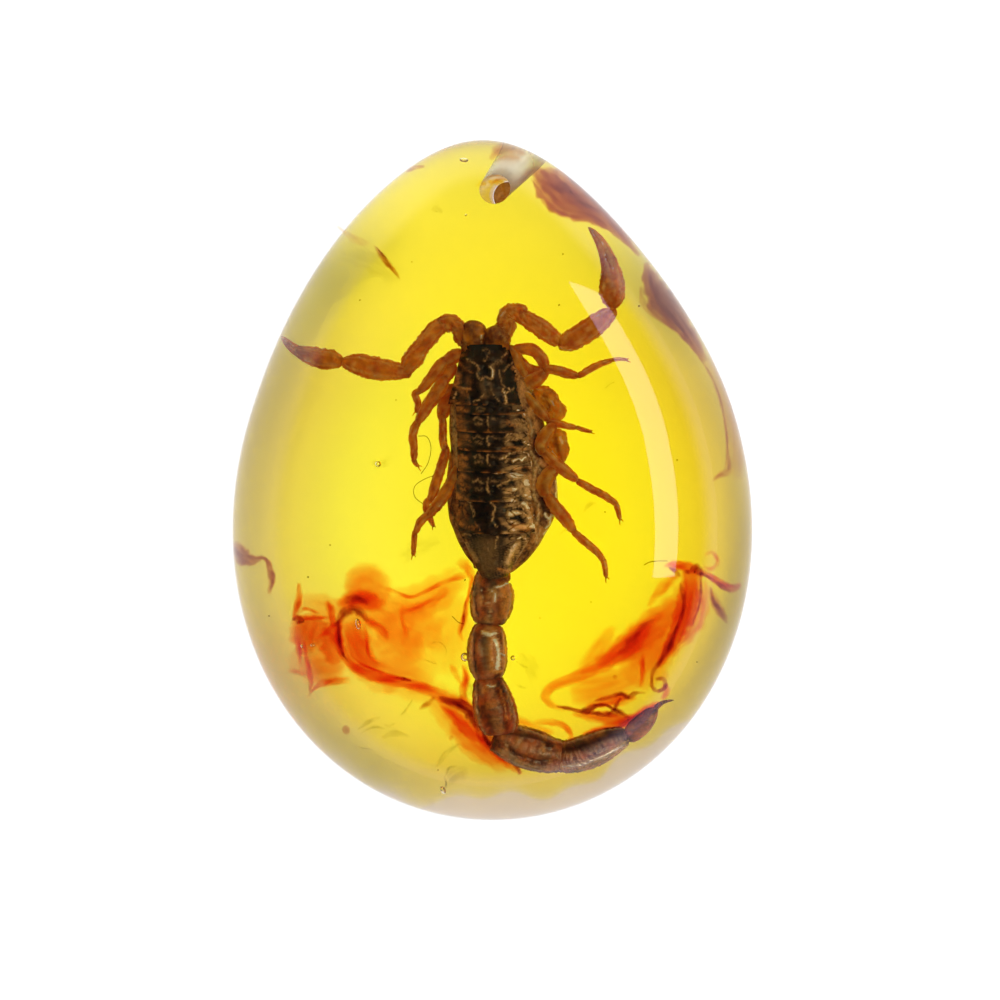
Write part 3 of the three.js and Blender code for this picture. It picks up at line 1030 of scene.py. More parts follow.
# Narrow pale strokes of strength 0.8 and over are painted highlights; the broad pale ones are paler shell
# and, along the lower edges of segments 4 and 5, sandy grains.
TAIL_STROKES = {
    "tail_segment_1": (
        (((503, 590), (508, 600), (505, 614)), 6.0, 0.0, "amber", 0.8),
        (((472, 592), (472, 605), (475, 616)), 1.8, 1.2, "amber", 1.0),
        (((475, 588), (475, 602), (478, 617)), 1.1, -1.2, "dark", 1.0),
        (((478, 584), (478, 594), (479, 606)), 3.0, 0.8, "pale", 0.22),
        (((488, 578), (493, 584), (491, 590)), 4.5, -1.5, "dark", 0.9),
        (((484, 590), (483, 603), (486, 615)), 2.2, -1.0, "dark", 0.5),
        (((496, 604), (499, 616)), 3.2, -1.5, "dark", 0.7),
        (((491, 590), (495, 594), (496, 598), (494, 601)), 1.3, 1.8, "pale", 1.1),
        (((486, 602), (490, 607), (491, 612), (490, 617)), 1.5, 1.8, "pale", 0.8),
        (((496, 587), (502, 586), (508, 583)), 1.3, 1.6, "pale", 1.2),
    ),
    "tail_segment_2": (
        (((471, 636), (470, 652), (471, 668)), 2.4, 1.0, "amber", 0.9),
        (((474.5, 634), (474, 652), (476, 672)), 1.2, -1.4, "dark", 1.0),
        (((484, 640), (484, 654), (485, 667)), 4.4, -2.0, "dark", 0.95),
        (((490, 640), (491, 654), (492, 668)), 3.0, 1.2, "amber", 1.0),
        (((490, 645), (492, 650)), 0.9, 0.8, "pale", 0.8),
        (((491, 656), (493, 661)), 0.9, 0.8, "pale", 0.8),
        (((503, 636), (505, 650), (504, 666)), 2.2, 0.8, "amber", 1.0),
        (((492, 671), (497, 672), (502, 671)), 1.6, 1.4, "amber", 1.0),
        (((500.5, 634), (501, 650), (501, 668)), 0.9, -1.4, "dark", 0.9),
        (((484, 633), (489, 635), (495, 633)), 2.1, 1.8, "pale", 1.5),
        (((495, 640), (498, 648), (498.5, 660), (497, 668)), 2.4, 2.0, "pale", 1.5),
        (((500, 654), (505, 655)), 1.2, 1.4, "pale", 1.3),
        (((470, 676), (474, 677)), 1.1, 1.0, "pale", 1.2),
    ),
    "tail_segment_3": (
        (((489, 688), (491, 708), (496, 728)), 13.0, 0.0, "amber", 0.12),
        (((487, 685), (491, 687), (495, 686)), 1.2, 1.6, "pale", 1.1),
        (((481, 685), (482, 695)), 3.0, 0.6, "pale", 0.22),
        (((474, 692), (474, 708), (478, 725)), 1.6, 1.2, "amber", 1.0),
        (((478, 690), (478, 706), (481, 724)), 1.1, -1.0, "dark", 0.9),
        (((498, 684), (506, 694), (511, 706), (513, 720)), 2.6, -1.0, "dark", 0.9),
        (((507, 696), (511, 708), (511, 720)), 1.0, 1.6, "amber", 1.0),
        (((500, 690), (504, 704), (507, 720)), 1.1, 1.4, "amber", 0.8),
        (((490, 718), (492, 732)), 5.0, -0.8, "dark", 0.6),
    ),
    "tail_segment_4": (
        (((507, 733), (520, 735), (538, 738), (552, 746)), 3.4, 1.0, "dark", 0.9),
        (((510, 743), (525, 749), (545, 753)), 4.0, 0.3, "pale", 0.12),
        (((504, 745), (520, 756), (540, 761), (556, 760)), 1.1, -1.2, "dark", 0.8),
        (((504, 752), (519, 764), (538, 769), (556, 768)), 3.6, 1.0, "pale", 0.5),
        (((505, 745), (507, 746)), 0.9, 0.5, "pale", 1.1),
    ),
    "tail_segment_5": (
        (((562, 751), (585, 745), (604, 738), (622, 732)), 6.8, 1.2, "dark", 1.0),
        (((566, 758), (580, 755), (600, 749)), 3.2, 0.3, "pale", 0.12),
        (((562, 767), (582, 765), (604, 757), (624, 745)), 3.8, 1.0, "pale", 0.85),
        (((566, 768), (590, 768), (612, 760)), 1.2, 0.8, "amber", 0.5),
    ),
}
BARREL = ((38, 0.07, 0.12), (90, 0.03, 0.16), (142, 0.07, 0.12), (0, 0.04, 0.18), (180, 0.04, 0.18))
for number, (name, knots) in enumerate(TAIL.items()):
    boxy = name.startswith("tail")
    segment = tube(knots, flat=0.78, sides=80 if boxy else 32, steps=100 if boxy else 50,
                   corner=0.75 if boxy else 1.0, keels=BARREL if boxy else (), rough=0.02,
                   round_ends=(0.16, 0.16) if boxy else (1.0, 1.5), seed=200 + number, dark_ends=0.5,
                   strokes=TAIL_STROKES.get(name, ()), streaks=0.05, middle_shade=0.2)
    sealed_piece(name, [segment], ruddy_shell if name == "tail_segment_3" else tail_shell)
print("tail:", len(TAIL), "pieces,", sum(counts), "faces so far")

# %% [markdown]
# ## The trunk under the plates
# Between the back plates and the belly plates a scorpion is soft skin. This one has shrunk on its left side
# and swollen on its right, where the skin hangs in long folds. It is one closed barrel whose left and right
# edges are set at a few stations, and its folds, spots and painted highlights are strokes.

# %% The trunk
TRUNK_LEFT = ((343, 466), (352, 460), (385, 456), (400, 450), (430, 449), (450, 451), (470, 452), (500, 447),
              (520, 449), (530, 453), (542, 457), (556, 464), (568, 473), (578, 484))
TRUNK_RIGHT = ((343, 508), (352, 513), (385, 531), (400, 537), (415, 542), (430, 546), (445, 548), (460, 551),
               (480, 557), (500, 558), (512, 556), (522, 553), (534, 546), (546, 540), (560, 530), (571, 518),
               (578, 505))
# Pale strokes of strength 0.9 and over are painted highlights; the first dark stroke is partly dark skin,
# partly painted shade between the trunk and the legs.
FLANK = (
    (((530, 392), (536, 405), (541, 418), (543, 432)), 4.5, -1.0, "dark", 0.8),
    (((527, 392), (530, 394)), 1.0, 1.0, "pale", 1.0),
    (((534, 392), (537, 396)), 0.9, 1.0, "pale", 0.9),
    (((531, 452), (536, 462), (534, 480), (533, 497)), 1.7, 2.5, "pale", 0.75),
    (((537, 464), (541, 474), (539, 488), (536, 498)), 1.7, 2.5, "pale", 0.6),
    (((533, 497), (538, 504), (539, 513), (536, 523)), 1.8, 3.0, "pale", 0.8),
    (((530, 499), (534, 508), (535, 519)), 1.2, -2.0, "dark", 0.9),
    (((531, 526), (536, 534), (537, 543)), 1.6, 2.5, "pale", 0.7),
    (((539, 527), (540, 538), (537, 548)), 1.3, 1.5, "pale", 0.5),
    (((541, 468), (542, 490), (543, 508), (546, 516)), 3.0, -2.5, "dark", 1.0),
    (((534, 455), (537, 445), (534, 432), (531, 420)), 2.5, -1.5, "dark", 0.9),
    (((527, 415), (531, 425), (533, 437)), 1.5, 1.5, "pale", 0.4),
    (((538, 463), (545, 464), (551, 461)), 2.2, 1.5, "pale", 0.55),
    (((541, 530), (540, 543), (533, 555), (522, 569)), 2.0, 1.5, "amber", 0.9),
    (((547, 533), (541, 546), (531, 560), (519, 571)), 1.4, 0.5, "pale", 0.3),
    (((545, 514), (549, 519), (553, 514), (555, 520), (551, 526), (548, 531), (544, 534)), 1.3, 2.0, "pale",
     1.3),
    (((551, 515), (550, 524), (546, 528)), 1.2, 1.5, "pale", 1.2),
    (((556, 480), (557, 490), (555, 500)), 1.2, 1.0, "pale", 1.1),
    (((448, 490), (447, 505), (449, 520), (454, 531), (460, 548), (469, 563), (478, 574)), 2.0, 1.5, "amber",
     0.9),
    (((452, 486), (452, 505), (454, 522)), 1.0, -1.5, "dark", 0.8),
    (((457, 484), (457, 505), (458, 522)), 1.8, 1.5, "amber", 0.8),
    (((451, 408), (453, 420), (455, 436)), 2.6, 0.8, "pale", 0.4),
    (((456, 440), (455, 450), (457, 459)), 2.4, 0.8, "pale", 0.5),
)


TRUNK_FRONT = TRUNK_LEFT[0][0]
TRUNK_LENGTH = TRUNK_LEFT[-1][0] - TRUNK_FRONT
TRUNK_LEVEL = 84
TRUNK_DEPTH = 21  # half of it


def trunk():
    """Rings from the front to the tail: an oval between the left and right edge, 42 squares deep at most."""
    rows = 300
    sides = 260
    along = (1 - np.cos(np.linspace(0, math.pi, rows))) / 2
    y = TRUNK_FRONT + TRUNK_LENGTH * along
    left = np.interp(y, *zip(*TRUNK_LEFT))
    right = np.interp(y, *zip(*TRUNK_RIGHT))
    smooth = np.exp(-np.linspace(-2, 2, 15) ** 2)
    left = np.convolve(np.pad(left, 7, "edge"), smooth / smooth.sum(), "valid")
    right = np.convolve(np.pad(right, 7, "edge"), smooth / smooth.sum(), "valid")
    turn = np.linspace(0, 2 * math.pi, sides, endpoint=False)
    ends = np.sqrt(np.clip(1 - np.abs(2 * along - 1) ** 5, 0, 1))
    deep = TRUNK_DEPTH * ends * (1 - 0.35 * smooth_step(along, 0.75, 1.0))
    across = np.sign(np.cos(turn)) * np.abs(np.cos(turn)) ** 0.75
    x = ((left + right) / 2)[:, None] + ((right - left) / 2 * ends ** 0.3)[:, None] * across
    z = TRUNK_LEVEL + deep[:, None] * np.sin(turn)
    down = y[:, None] + x * 0
    height, marks = strokes_on(x, down, FLANK)
    top = np.clip(np.sin(turn), 0, 1) ** 0.5
    wrinkle = ripples(x, down * 1.6, 5, 3) * 0.7 + ripples(x, down, 2.2, 4) * 0.3
    z = z + (height + wrinkle) * top * ends[:, None]
    points = np.stack([x, down, z], axis=2)
    points[0] = points[0].mean(axis=0)
    points[-1] = points[-1].mean(axis=0)
    return {"points": points, "marks": marks}


sealed_piece("trunk_skin", [trunk()], soft_skin)

# %% [markdown]
# ## Back plates
# The back is covered by a shield over the head end and seven plates behind it, each tucked under the one in
# front. A plate is a closed shell: an arched top, worked with strokes for its keels, folds, pale spots and
# painted highlights, and an underside that meets it all round at a thin edge. Where a plate is tucked under
# the one in front, its front is painted darker as shade.

# %% One plate
def plate(front, back, left, right, crest, edge, strokes, bow=1.5, lip=2.0, thick=4.0, seed=1, fine=0.7,
          rough=1.1, tan=0.62):
    """An arched shell between four sides: z = edge + (crest - edge)(1 - |2v - 1|^2.4) + lip u."""
    rows = int((back - front) / fine) + 8
    columns = int((right[1] - left[0]) / fine)
    along = (1 - np.cos(np.linspace(0, math.pi, rows))) / 2
    across = (1 - np.cos(np.linspace(0, math.pi, columns))) / 2
    u, v = np.meshgrid(along, across, indexing="ij")
    arch = 1 - np.abs(2 * v - 1) ** 2.4
    y = front + (back - front) * u + bow * arch * (2 * u - 0.6)
    x = left[0] + (left[1] - left[0]) * u + v * (right[0] + (right[1] - right[0]) * u
                                                 - left[0] - (left[1] - left[0]) * u)
    height, marks = strokes_on(x, y, strokes, seed)
    patches = ripples(0.5 * x, y, 9, seed + 5)
    cracks = np.exp(-(ripples(0.45 * x + 0.3 * y, 1.3 * y, 8, seed + 8) / 0.16) ** 2)
    knobbly = ripples(0.6 * x, y, 7, seed)
    right_side = smooth_step(x + 3 * knobbly, 497, 513)
    left_side = 1 - smooth_step(x + 4 * knobbly, 458, 472)
    behind = np.exp(-((1 - u) * (back - front) / 1.3) ** 2)
    behind = behind * np.clip(0.4 + ripples(x, 0 * x, 15, seed + 6), 0, 1)
    # The right side is made paler in patches: partly tan shell, partly painted highlight where the light from
    # the right falls.
    pale_and_highlit = np.clip(0.6 + 1.2 * patches, 0, 1) * (1 - cracks)
    marks["pale"] = np.maximum(marks["pale"], tan * right_side * pale_and_highlit)
    warm = left_side * np.clip(0.65 + patches, 0.1, 1) * (1 - 0.6 * cracks)
    marks["amber"] = np.maximum(marks["amber"], warm)
    marks["amber"] = np.maximum(marks["amber"], 0.7 * behind)
    # Painted shade: the front of each plate, tucked under the rear edge of the one before, is made darker.
    marks["dark"] = np.maximum(marks["dark"], 1 - smooth_step(u * (back - front), 3, 8))
    z = edge + (crest - edge) * arch + lip * u + height
    z = z + rough * knobbly - 1.2 * cracks * np.clip(right_side + left_side + 0.2, 0, 1)
    border = np.sqrt(np.clip(4 * u * (1 - u), 0, 1)) * np.sqrt(np.clip(4 * v * (1 - v), 0, 1))
    body = thick * border ** 0.5
    top = np.stack([x, y, z], axis=2)
    under = np.stack([x, y, z - body], axis=2)
    points = np.concatenate([top, under[:, ::-1]], axis=1)
    points[0, columns:] = points[0, :columns][::-1]
    points[-1, columns:] = points[-1, :columns][::-1]
    marks = {name: np.concatenate([mark, mark[:, ::-1]], axis=1) for name, mark in marks.items()}
    return {"points": points, "marks": marks}


# %% The shield over the head
# Pale strokes of strength 0.8 and over are painted glints; the fainter ones are partly paler shell, partly
# painted grey sheen.
SHIELD = (
    (((483, 350), (487, 349), (489, 353), (487, 359), (484, 361)), 1.3, 1.2, "pale", 0.22),
    (((484, 351), (485, 357)), 4.0, 4.0, "dark", 0.6),
    (((484, 359), (485, 361)), 0.9, 0.8, "pale", 0.8),
    (((467, 360), (472, 361), (476, 365), (479, 369), (477, 372), (478, 377), (481, 380)), 1.1, 1.6, "pale",
     0.42),
    (((481, 380), (483, 378), (486, 377), (489, 379), (491, 379)), 1.3, 1.6, "pale", 0.5),
    (((490, 367), (493, 369), (493, 373), (492, 377)), 1.1, 2.0, "pale", 1.0),
    (((492, 366), (496, 363), (501, 361)), 2.2, 1.2, "pale", 0.25),
    (((502, 357), (505, 355), (507, 352)), 1.0, 1.2, "pale", 0.45),
    (((504, 371), (508, 366), (513, 362)), 1.0, 1.5, "pale", 0.4),
    (((485, 368), (486, 373)), 5.0, -3.0, "dark", 1.0),
    (((484, 394), (480, 399), (474, 402)), 1.0, 1.2, "pale", 0.5),
    (((491, 390), (494, 396), (499, 401)), 1.1, 1.2, "pale", 0.35),
    (((482, 384), (485, 396)), 3.0, 1.0, "pale", 0.12),
    (((490, 384), (491, 392)), 3.0, 1.0, "pale", 0.12),
    (((499, 371), (500, 378), (502, 384), (505, 388)), 0.9, 1.2, "pale", 0.3),
    (((503, 390), (505, 395), (506, 403)), 1.4, 1.8, "pale", 0.95),
    (((509, 389), (507, 393)), 1.1, 1.2, "pale", 0.7),
    (((510, 391), (514, 388)), 0.9, 0.8, "pale", 0.4),
    (((515, 357), (519, 366), (522, 373)), 1.3, 1.5, "amber", 1.0),
    (((513, 368), (518, 366), (520, 372), (516, 379)), 1.6, 1.5, "amber", 0.9),
    (((514, 367), (517, 369)), 1.8, 0.5, "pale", 0.4),
    (((456, 368), (456, 376), (458, 381)), 1.5, 1.5, "amber", 1.0),
    (((452, 382), (457, 387), (463, 389), (470, 389)), 1.4, 1.6, "amber", 1.0),
    (((462, 388), (470, 389)), 1.0, 0.5, "pale", 0.4),
    (((467, 390), (468, 398), (469, 404)), 1.4, 1.4, "amber", 0.8),
    (((460, 364), (465, 369), (471, 372)), 1.5, 1.2, "amber", 0.7),
    (((464, 377), (468, 382)), 3.6, 1.0, "amber", 0.45),
    (((456, 392), (454, 398)), 1.0, 1.0, "pale", 0.7),
    (((464, 373), (463, 383)), 4.0, -1.5, "dark", 1.0),
    (((507, 373), (509, 384)), 4.0, -1.5, "dark", 0.9),
    (((463, 350), (470, 353)), 5.5, -0.5, "dark", 1.0),
    (((451, 398), (462, 399), (473, 400)), 4.0, -1.0, "dark", 1.0),
)
shield = plate(345, 404, (463, 448), (508, 528), 113, 94, SHIELD, bow=1.0, lip=1.0, thick=6, seed=301,
               fine=0.5, rough=0.7, tan=0.0)
sealed_piece("head_shield", [shield], dark_shell)


# %% Seven plates behind it
def middle_marks(front, back, left_mark, right_mark):
    """The two spots of painted grey sheen and the low, pale keel that repeat on every plate, scaled to the
    plate's length.
    """
    deep = back - front
    return (
        (((474, front + 0.35 * deep), (478, front + 0.25 * deep), (482, front + 0.4 * deep)), 1.3, 0.8,
         "pale", left_mark),
        (((476, front + 0.6 * deep), (481, front + 0.62 * deep)), 1.5, 0.6, "pale", left_mark * 0.8),
        (((488, front + 0.25 * deep), (487, front + 0.5 * deep), (489, front + 0.75 * deep)), 1.1, 1.6,
         "pale", right_mark),
        (((492, front + 0.3 * deep), (496, front + 0.36 * deep)), 1.6, 0.8, "pale", right_mark * 0.4),
        (((468, back - 3), (485, back - 2), (508, back - 3)), 1.4, 1.2, "dark", 0.5),
    )


# Pale strokes of strength 0.9 and over are painted glints; the other pale strokes are partly tan folds,
# partly painted sheen on them.
PLATES = {
    "back_plate_1": ((401, 413, (455, 457), (522, 526), 113), (
        (((476, 409), (480, 407), (484, 409)), 1.2, 0.6, "pale", 0.18),
        (((476, 412), (483, 411)), 1.2, 0.6, "pale", 0.15),
    )),
    "back_plate_2": ((410, 431, (456, 457), (526, 530), 114), middle_marks(413, 431, 0.32, 0.45) + (
        (((518, 410), (523, 412), (527, 415)), 2.2, 1.0, "pale", 0.95),
        (((521, 408), (525, 416)), 1.4, 1.0, "pale", 1.0),
        (((515, 420), (521, 420), (527, 423)), 1.6, 1.6, "pale", 0.45),
        (((520, 425), (527, 430)), 3.0, 0.8, "pale", 0.4),
        (((507, 422), (514, 426), (518, 424)), 1.8, 0.6, "amber", 0.7),
        (((459, 415), (461, 428)), 2.5, 0.4, "amber", 0.45),
        (((488, 431), (492, 434)), 1.5, 0.6, "amber", 0.9),
    )),
    "back_plate_3": ((428, 450, (457, 458), (530, 532), 115), middle_marks(431, 450, 0.3, 0.5) + (
        (((505, 437), (509, 434), (517, 433), (523, 431), (529, 434)), 1.1, 2.0, "pale", 0.75),
        (((505, 443), (509, 440), (515, 439), (522, 438), (528, 441), (530, 446)), 1.2, 2.4, "pale", 0.7),
        (((524, 441), (529, 445)), 1.8, 1.0, "pale", 0.9),
        (((510, 443), (520, 444)), 3.0, -1.8, "dark", 1.0),
        (((503, 448), (514, 447), (526, 449)), 1.3, 1.0, "amber", 0.9),
        (((461, 440), (466, 439), (470, 442)), 1.2, 0.8, "amber", 0.6),
        (((460, 449), (467, 450)), 1.3, 0.6, "amber", 0.9),
    )),
    "back_plate_4": ((447, 471, (457, 458), (532, 533), 115), middle_marks(450, 470, 0.34, 0.6) + (
        (((500, 459), (505, 457), (509, 454), (515, 452), (523, 451), (528, 454), (531, 461), (531, 466)),
         1.3, 2.6, "pale", 0.9),
        (((513, 461), (518, 459), (522, 460), (526, 457)), 1.4, 2.4, "pale", 1.0),
        (((505, 462), (508, 460)), 1.0, 1.0, "pale", 0.7),
        (((509, 457), (518, 456)), 1.5, -1.5, "dark", 0.9),
        (((506, 465), (516, 465), (525, 464)), 2.6, -1.6, "dark", 1.0),
        (((461, 456), (466, 458)), 1.8, 1.0, "amber", 1.0),
        (((462, 462), (467, 465)), 1.6, 0.8, "amber", 0.7),
        (((515, 469), (524, 467), (530, 468)), 1.2, 1.2, "amber", 0.9),
    )),
    "back_plate_5": ((468, 500, (457, 456), (532, 534), 115), middle_marks(472, 500, 0.3, 0.6) + (
        (((494, 472), (499, 473), (503, 472)), 1.0, 1.4, "pale", 0.95),
        (((506, 472), (512, 471), (516, 471)), 1.0, 1.4, "pale", 0.8),
        (((519, 470), (526, 469), (532, 468)), 1.4, 1.4, "pale", 0.6),
        (((499, 486), (504, 483), (510, 480), (518, 479), (526, 476)), 1.2, 2.2, "pale", 0.7),
        (((526, 480), (527, 488), (529, 497)), 5.0, 1.0, "pale", 0.7),
        (((518, 482), (521, 492)), 3.5, 0.8, "pale", 0.5),
        (((505, 489), (511, 487), (516, 490), (512, 495)), 1.4, 1.6, "pale", 0.35),
        (((503, 497), (511, 498), (518, 496)), 1.1, 1.4, "pale", 0.6),
        (((507, 493), (514, 494)), 2.4, -1.8, "dark", 0.9),
        (((460, 478), (463, 490)), 2.6, 0.6, "amber", 0.8),
    )),
    "back_plate_6": ((497, 532, (457, 459), (534, 535), 114), (
        (((461, 500), (466, 500), (471, 503)), 0.9, 1.0, "pale", 0.4),
        (((474, 501), (480, 500), (486, 501), (496, 500), (505, 501)), 0.9, 1.2, "pale", 0.33),
        (((470, 504), (473, 510), (474, 517)), 0.9, 1.4, "pale", 0.33),
        (((461, 506), (464, 510), (466, 518)), 1.2, 1.2, "amber", 0.6),
        (((491, 502), (495, 507), (493, 514), (492, 521)), 1.2, 1.8, "pale", 0.7),
        (((495, 525), (497, 527)), 1.2, 1.2, "pale", 0.5),
        (((507, 504), (513, 503), (520, 499), (528, 497)), 1.3, 1.8, "pale", 0.6),
        (((508, 511), (508, 519)), 1.1, 1.6, "pale", 0.75),
        (((513, 508), (520, 506), (524, 510)), 1.2, 2.0, "pale", 0.8),
        (((517, 512), (524, 514), (529, 519)), 1.2, 2.0, "pale", 0.85),
        (((528, 502), (531, 512), (531, 522)), 4.2, 0.8, "pale", 0.75),
        (((520, 500), (526, 505)), 3.0, 0.6, "pale", 0.6),
        (((512, 516), (521, 520)), 3.2, -1.6, "dark", 0.9),
        (((514, 527), (522, 527), (528, 529)), 2.8, 1.0, "amber", 1.0),
        (((460, 524), (468, 528), (475, 527)), 2.6, 0.6, "amber", 0.5),
        (((475, 523), (480, 530)), 1.0, 0.8, "amber", 0.5),
    )),
    "back_plate_7": ((529, 577, (458, 481), (536, 507), 112), (
        (((461, 536), (466, 533), (471, 535)), 1.0, 1.0, "pale", 0.45),
        (((474, 534), (480, 532), (486, 532), (494, 532), (502, 532), (510, 533)), 0.9, 1.4, "pale", 0.5),
        (((487, 546), (487, 564)), 13.0, 0.0, "pale", 0.2),
        (((488, 540), (488, 551)), 0.9, 1.6, "pale", 0.35),
        (((497, 537), (496, 544), (495, 550)), 1.0, 1.8, "pale", 0.6),
        (((487, 557), (493, 557), (498, 555)), 0.9, 0.9, "pale", 0.25),
        (((465, 546), (470, 552), (475, 560)), 4.2, 3.0, "pale", 0.5),
        (((460, 539), (466, 543)), 2.2, 1.0, "amber", 0.7),
        (((476, 547), (481, 560), (486, 570)), 1.4, -1.2, "dark", 0.6),
        (((517, 544), (511, 553), (508, 563)), 4.0, 3.4, "pale", 0.78),
        (((518, 538), (523, 536), (526, 541)), 1.4, 1.8, "pale", 0.95),
        (((528, 545), (522, 556), (515, 567)), 3.6, 2.2, "pale", 0.62),
        (((522, 546), (516, 556), (511, 568)), 1.1, -2.0, "dark", 0.9),
        (((505, 543), (501, 556), (499, 566)), 1.4, -1.0, "dark", 0.6),
        (((499, 570), (508, 571)), 2.5, 0.8, "amber", 0.9),
        (((510, 533), (518, 533)), 2.0, 1.0, "amber", 0.7),
    )),
}
# The right sides are partly tan shell and partly painted highlight, where the light from the right falls.
PALE_RIGHT_SIDE = (0.15, 0.3, 0.35, 0.5, 0.85, 0.85, 0.45)  # how pale each plate's right side is made
for number, (name, ((front, back, left, right, crest), strokes)) in enumerate(PLATES.items()):
    grid = plate(front, back, left, right, crest, 97, strokes, lip=4.5, seed=310 + 3 * number, fine=0.5,
                 tan=PALE_RIGHT_SIDE[number])
    sealed_piece(name, [grid], dark_shell)
print("back plates:", len(PLATES) + 1, "pieces,", sum(counts), "faces so far")

# %% [markdown]
# ## Jaws, belly and the joint to the tail
# Two short jaws stick out in front of the shield, over a fold of neck skin. Underneath, five belly plates and
# a small ring at the tail's root close the body, so that it is whole from every side.

# %% Jaws and belly
JAWS = {
    "jaw_left": [(474, 354, 90, 12), (474, 343, 94, 12.8), (474, 333, 96, 12.8), (477, 321, 93, 10.5)],
    "jaw_right": [(496, 354, 90, 13), (496, 344, 93, 13.8), (496, 336, 95, 13.6), (494, 326, 92, 11.5)],
    "neck_skin": [(463, 349, 86, 5), (474, 347, 88, 9), (496, 347, 88, 9), (509, 350, 86, 5)],
    "tail_root_ring": [(488, 574, 92, 8), (495, 573, 93, 9.5), (504, 577, 92, 8), (510, 580, 91, 4)],
}
# The two short pale strokes near x 481 are painted glints.
JAW_MARKS = (
    (((481.5, 336), (481.5, 338)), 1.1, 0.8, "pale", 1.2),
    (((481, 340), (482, 343)), 0.9, 0.6, "pale", 0.7),
    (((484, 324), (485, 333), (484, 345)), 1.6, -1.5, "dark", 0.8),
    (((464, 335), (464.5, 340), (466, 344)), 0.9, 0.8, "pale", 0.45),
    (((470, 324), (478, 321), (483, 322)), 1.6, 0.6, "amber", 1.0),
    (((487, 326), (493, 326), (498, 328)), 1.6, 0.6, "amber", 1.0),
    (((499, 333), (504, 337), (507, 343)), 1.0, 0.8, "pale", 0.4),
    (((473, 334), (478, 341)), 5.0, 0.0, "dark", 0.5),
    (((491, 340), (500, 340)), 5.0, 0.0, "dark", 0.4),
)
for number, (name, knots) in enumerate(JAWS.items()):
    jaw = tube(knots, flat=0.85, sides=48, steps=60, corner=0.85, rough=0.07, round_ends=(0.4, 0.55),
               seed=400 + number, dark_ends=0.2, streaks=0.1, strokes=JAW_MARKS)
    sealed_piece(name, [jaw], jaw_shell)

BELLY = (
    (352, 396, (464, 458), (510, 520), 60),
    (400, 440, (458, 456), (528, 536), 58),
    (437, 478, (456, 456), (536, 545), 57),
    (475, 515, (456, 456), (545, 545), 58),
    (512, 568, (458, 474), (542, 516), 60),
)
for number, (front, back, left, right, crest) in enumerate(BELLY):
    grid = plate(front, back, left, right, crest, 74, (), bow=2, lip=-2, thick=-4, seed=420 + number,
                 fine=1.4)
    sealed_piece("belly_plate_" + str(number + 1), [grid], soft_skin)
print("whole scorpion:", sum(counts), "faces")


# %% [markdown]
# ## Orange dye
# Before the resin set, orange dye was let run into it: wide thin veils with darker edges, and narrow dense
# threads. Each run is a closed sheet drawn along a few knots. Its thickness falls to nothing at its sides and
# ends and varies in streaks along it, so plain absorption alone gives soft borders and wisps.

# %% One run of dye
dye_thin = tint_finish("orange dye", (0.955, 0.49, 0.0), 4200.0)
dye_dense = tint_finish("dense red-brown dye", (0.7, 0.28, 0.0), 5200.0)
dyes = (dye_thin, dye_dense)


def dye_run(name, knots, level, thick, finish, seed, streaks=None):
    """A closed sheet with v across it: thickness = thick (1 - v^2)^(power / 2) times streaks."""
    widest = max(knot[2] for knot in knots)
    streaks = streaks or float(np.interp(widest, (5, 14), (0.6, 0.3)))
    power = float(np.interp(widest, (6, 14), (2.6, 1.4)))
    steps = int(np.clip(14 * len(knots), 40, 84))
    sides = int(np.clip(8 + widest, 10, 24))
    centre, station = smooth_run([(x, y, half) for x, y, half in knots], steps)
    half = np.maximum(centre[:, 2], 0.4)
    ahead = np.gradient(centre[:, :2], axis=0)
    ahead = ahead / np.linalg.norm(ahead, axis=1, keepdims=True).clip(1e-9)
    turn = np.linspace(0, 2 * math.pi, 2 * sides, endpoint=False)
    v = np.cos(turn)
    far = (station * len(knots) * 14)[:, None] + v * 0
    wide = half[:, None] * v
    wobble = 1 + 0.16 * ripples(far, 0 * far, 9, seed + 2)
    x = centre[:, :1] - ahead[:, 1:] * wide * wobble
    y = centre[:, 1:2] + ahead[:, :1] * wide * wobble
    flow = ripples(far * 0.25, wide + 0.3 * ripples(far, wide, 12, seed), 5.5, seed + 1)
    varied = 1 - streaks + streaks * np.clip(0.8 + 0.9 * flow, 0.15, 2)
    ends = np.sqrt(np.sin(math.pi * np.clip(station, 0, 1)).clip(0, 1))[:, None]
    z = level + 0.5 * thick * varied * ends * np.sign(np.sin(turn)) * np.abs(np.sin(turn)) ** power
    points = np.stack([x, y, z], axis=2)
    points[0] = points[0].mean(axis=0)
    points[-1] = points[-1].mean(axis=0)
    return sealed_piece(name, [{"points": points, "marks": {}}], finish)


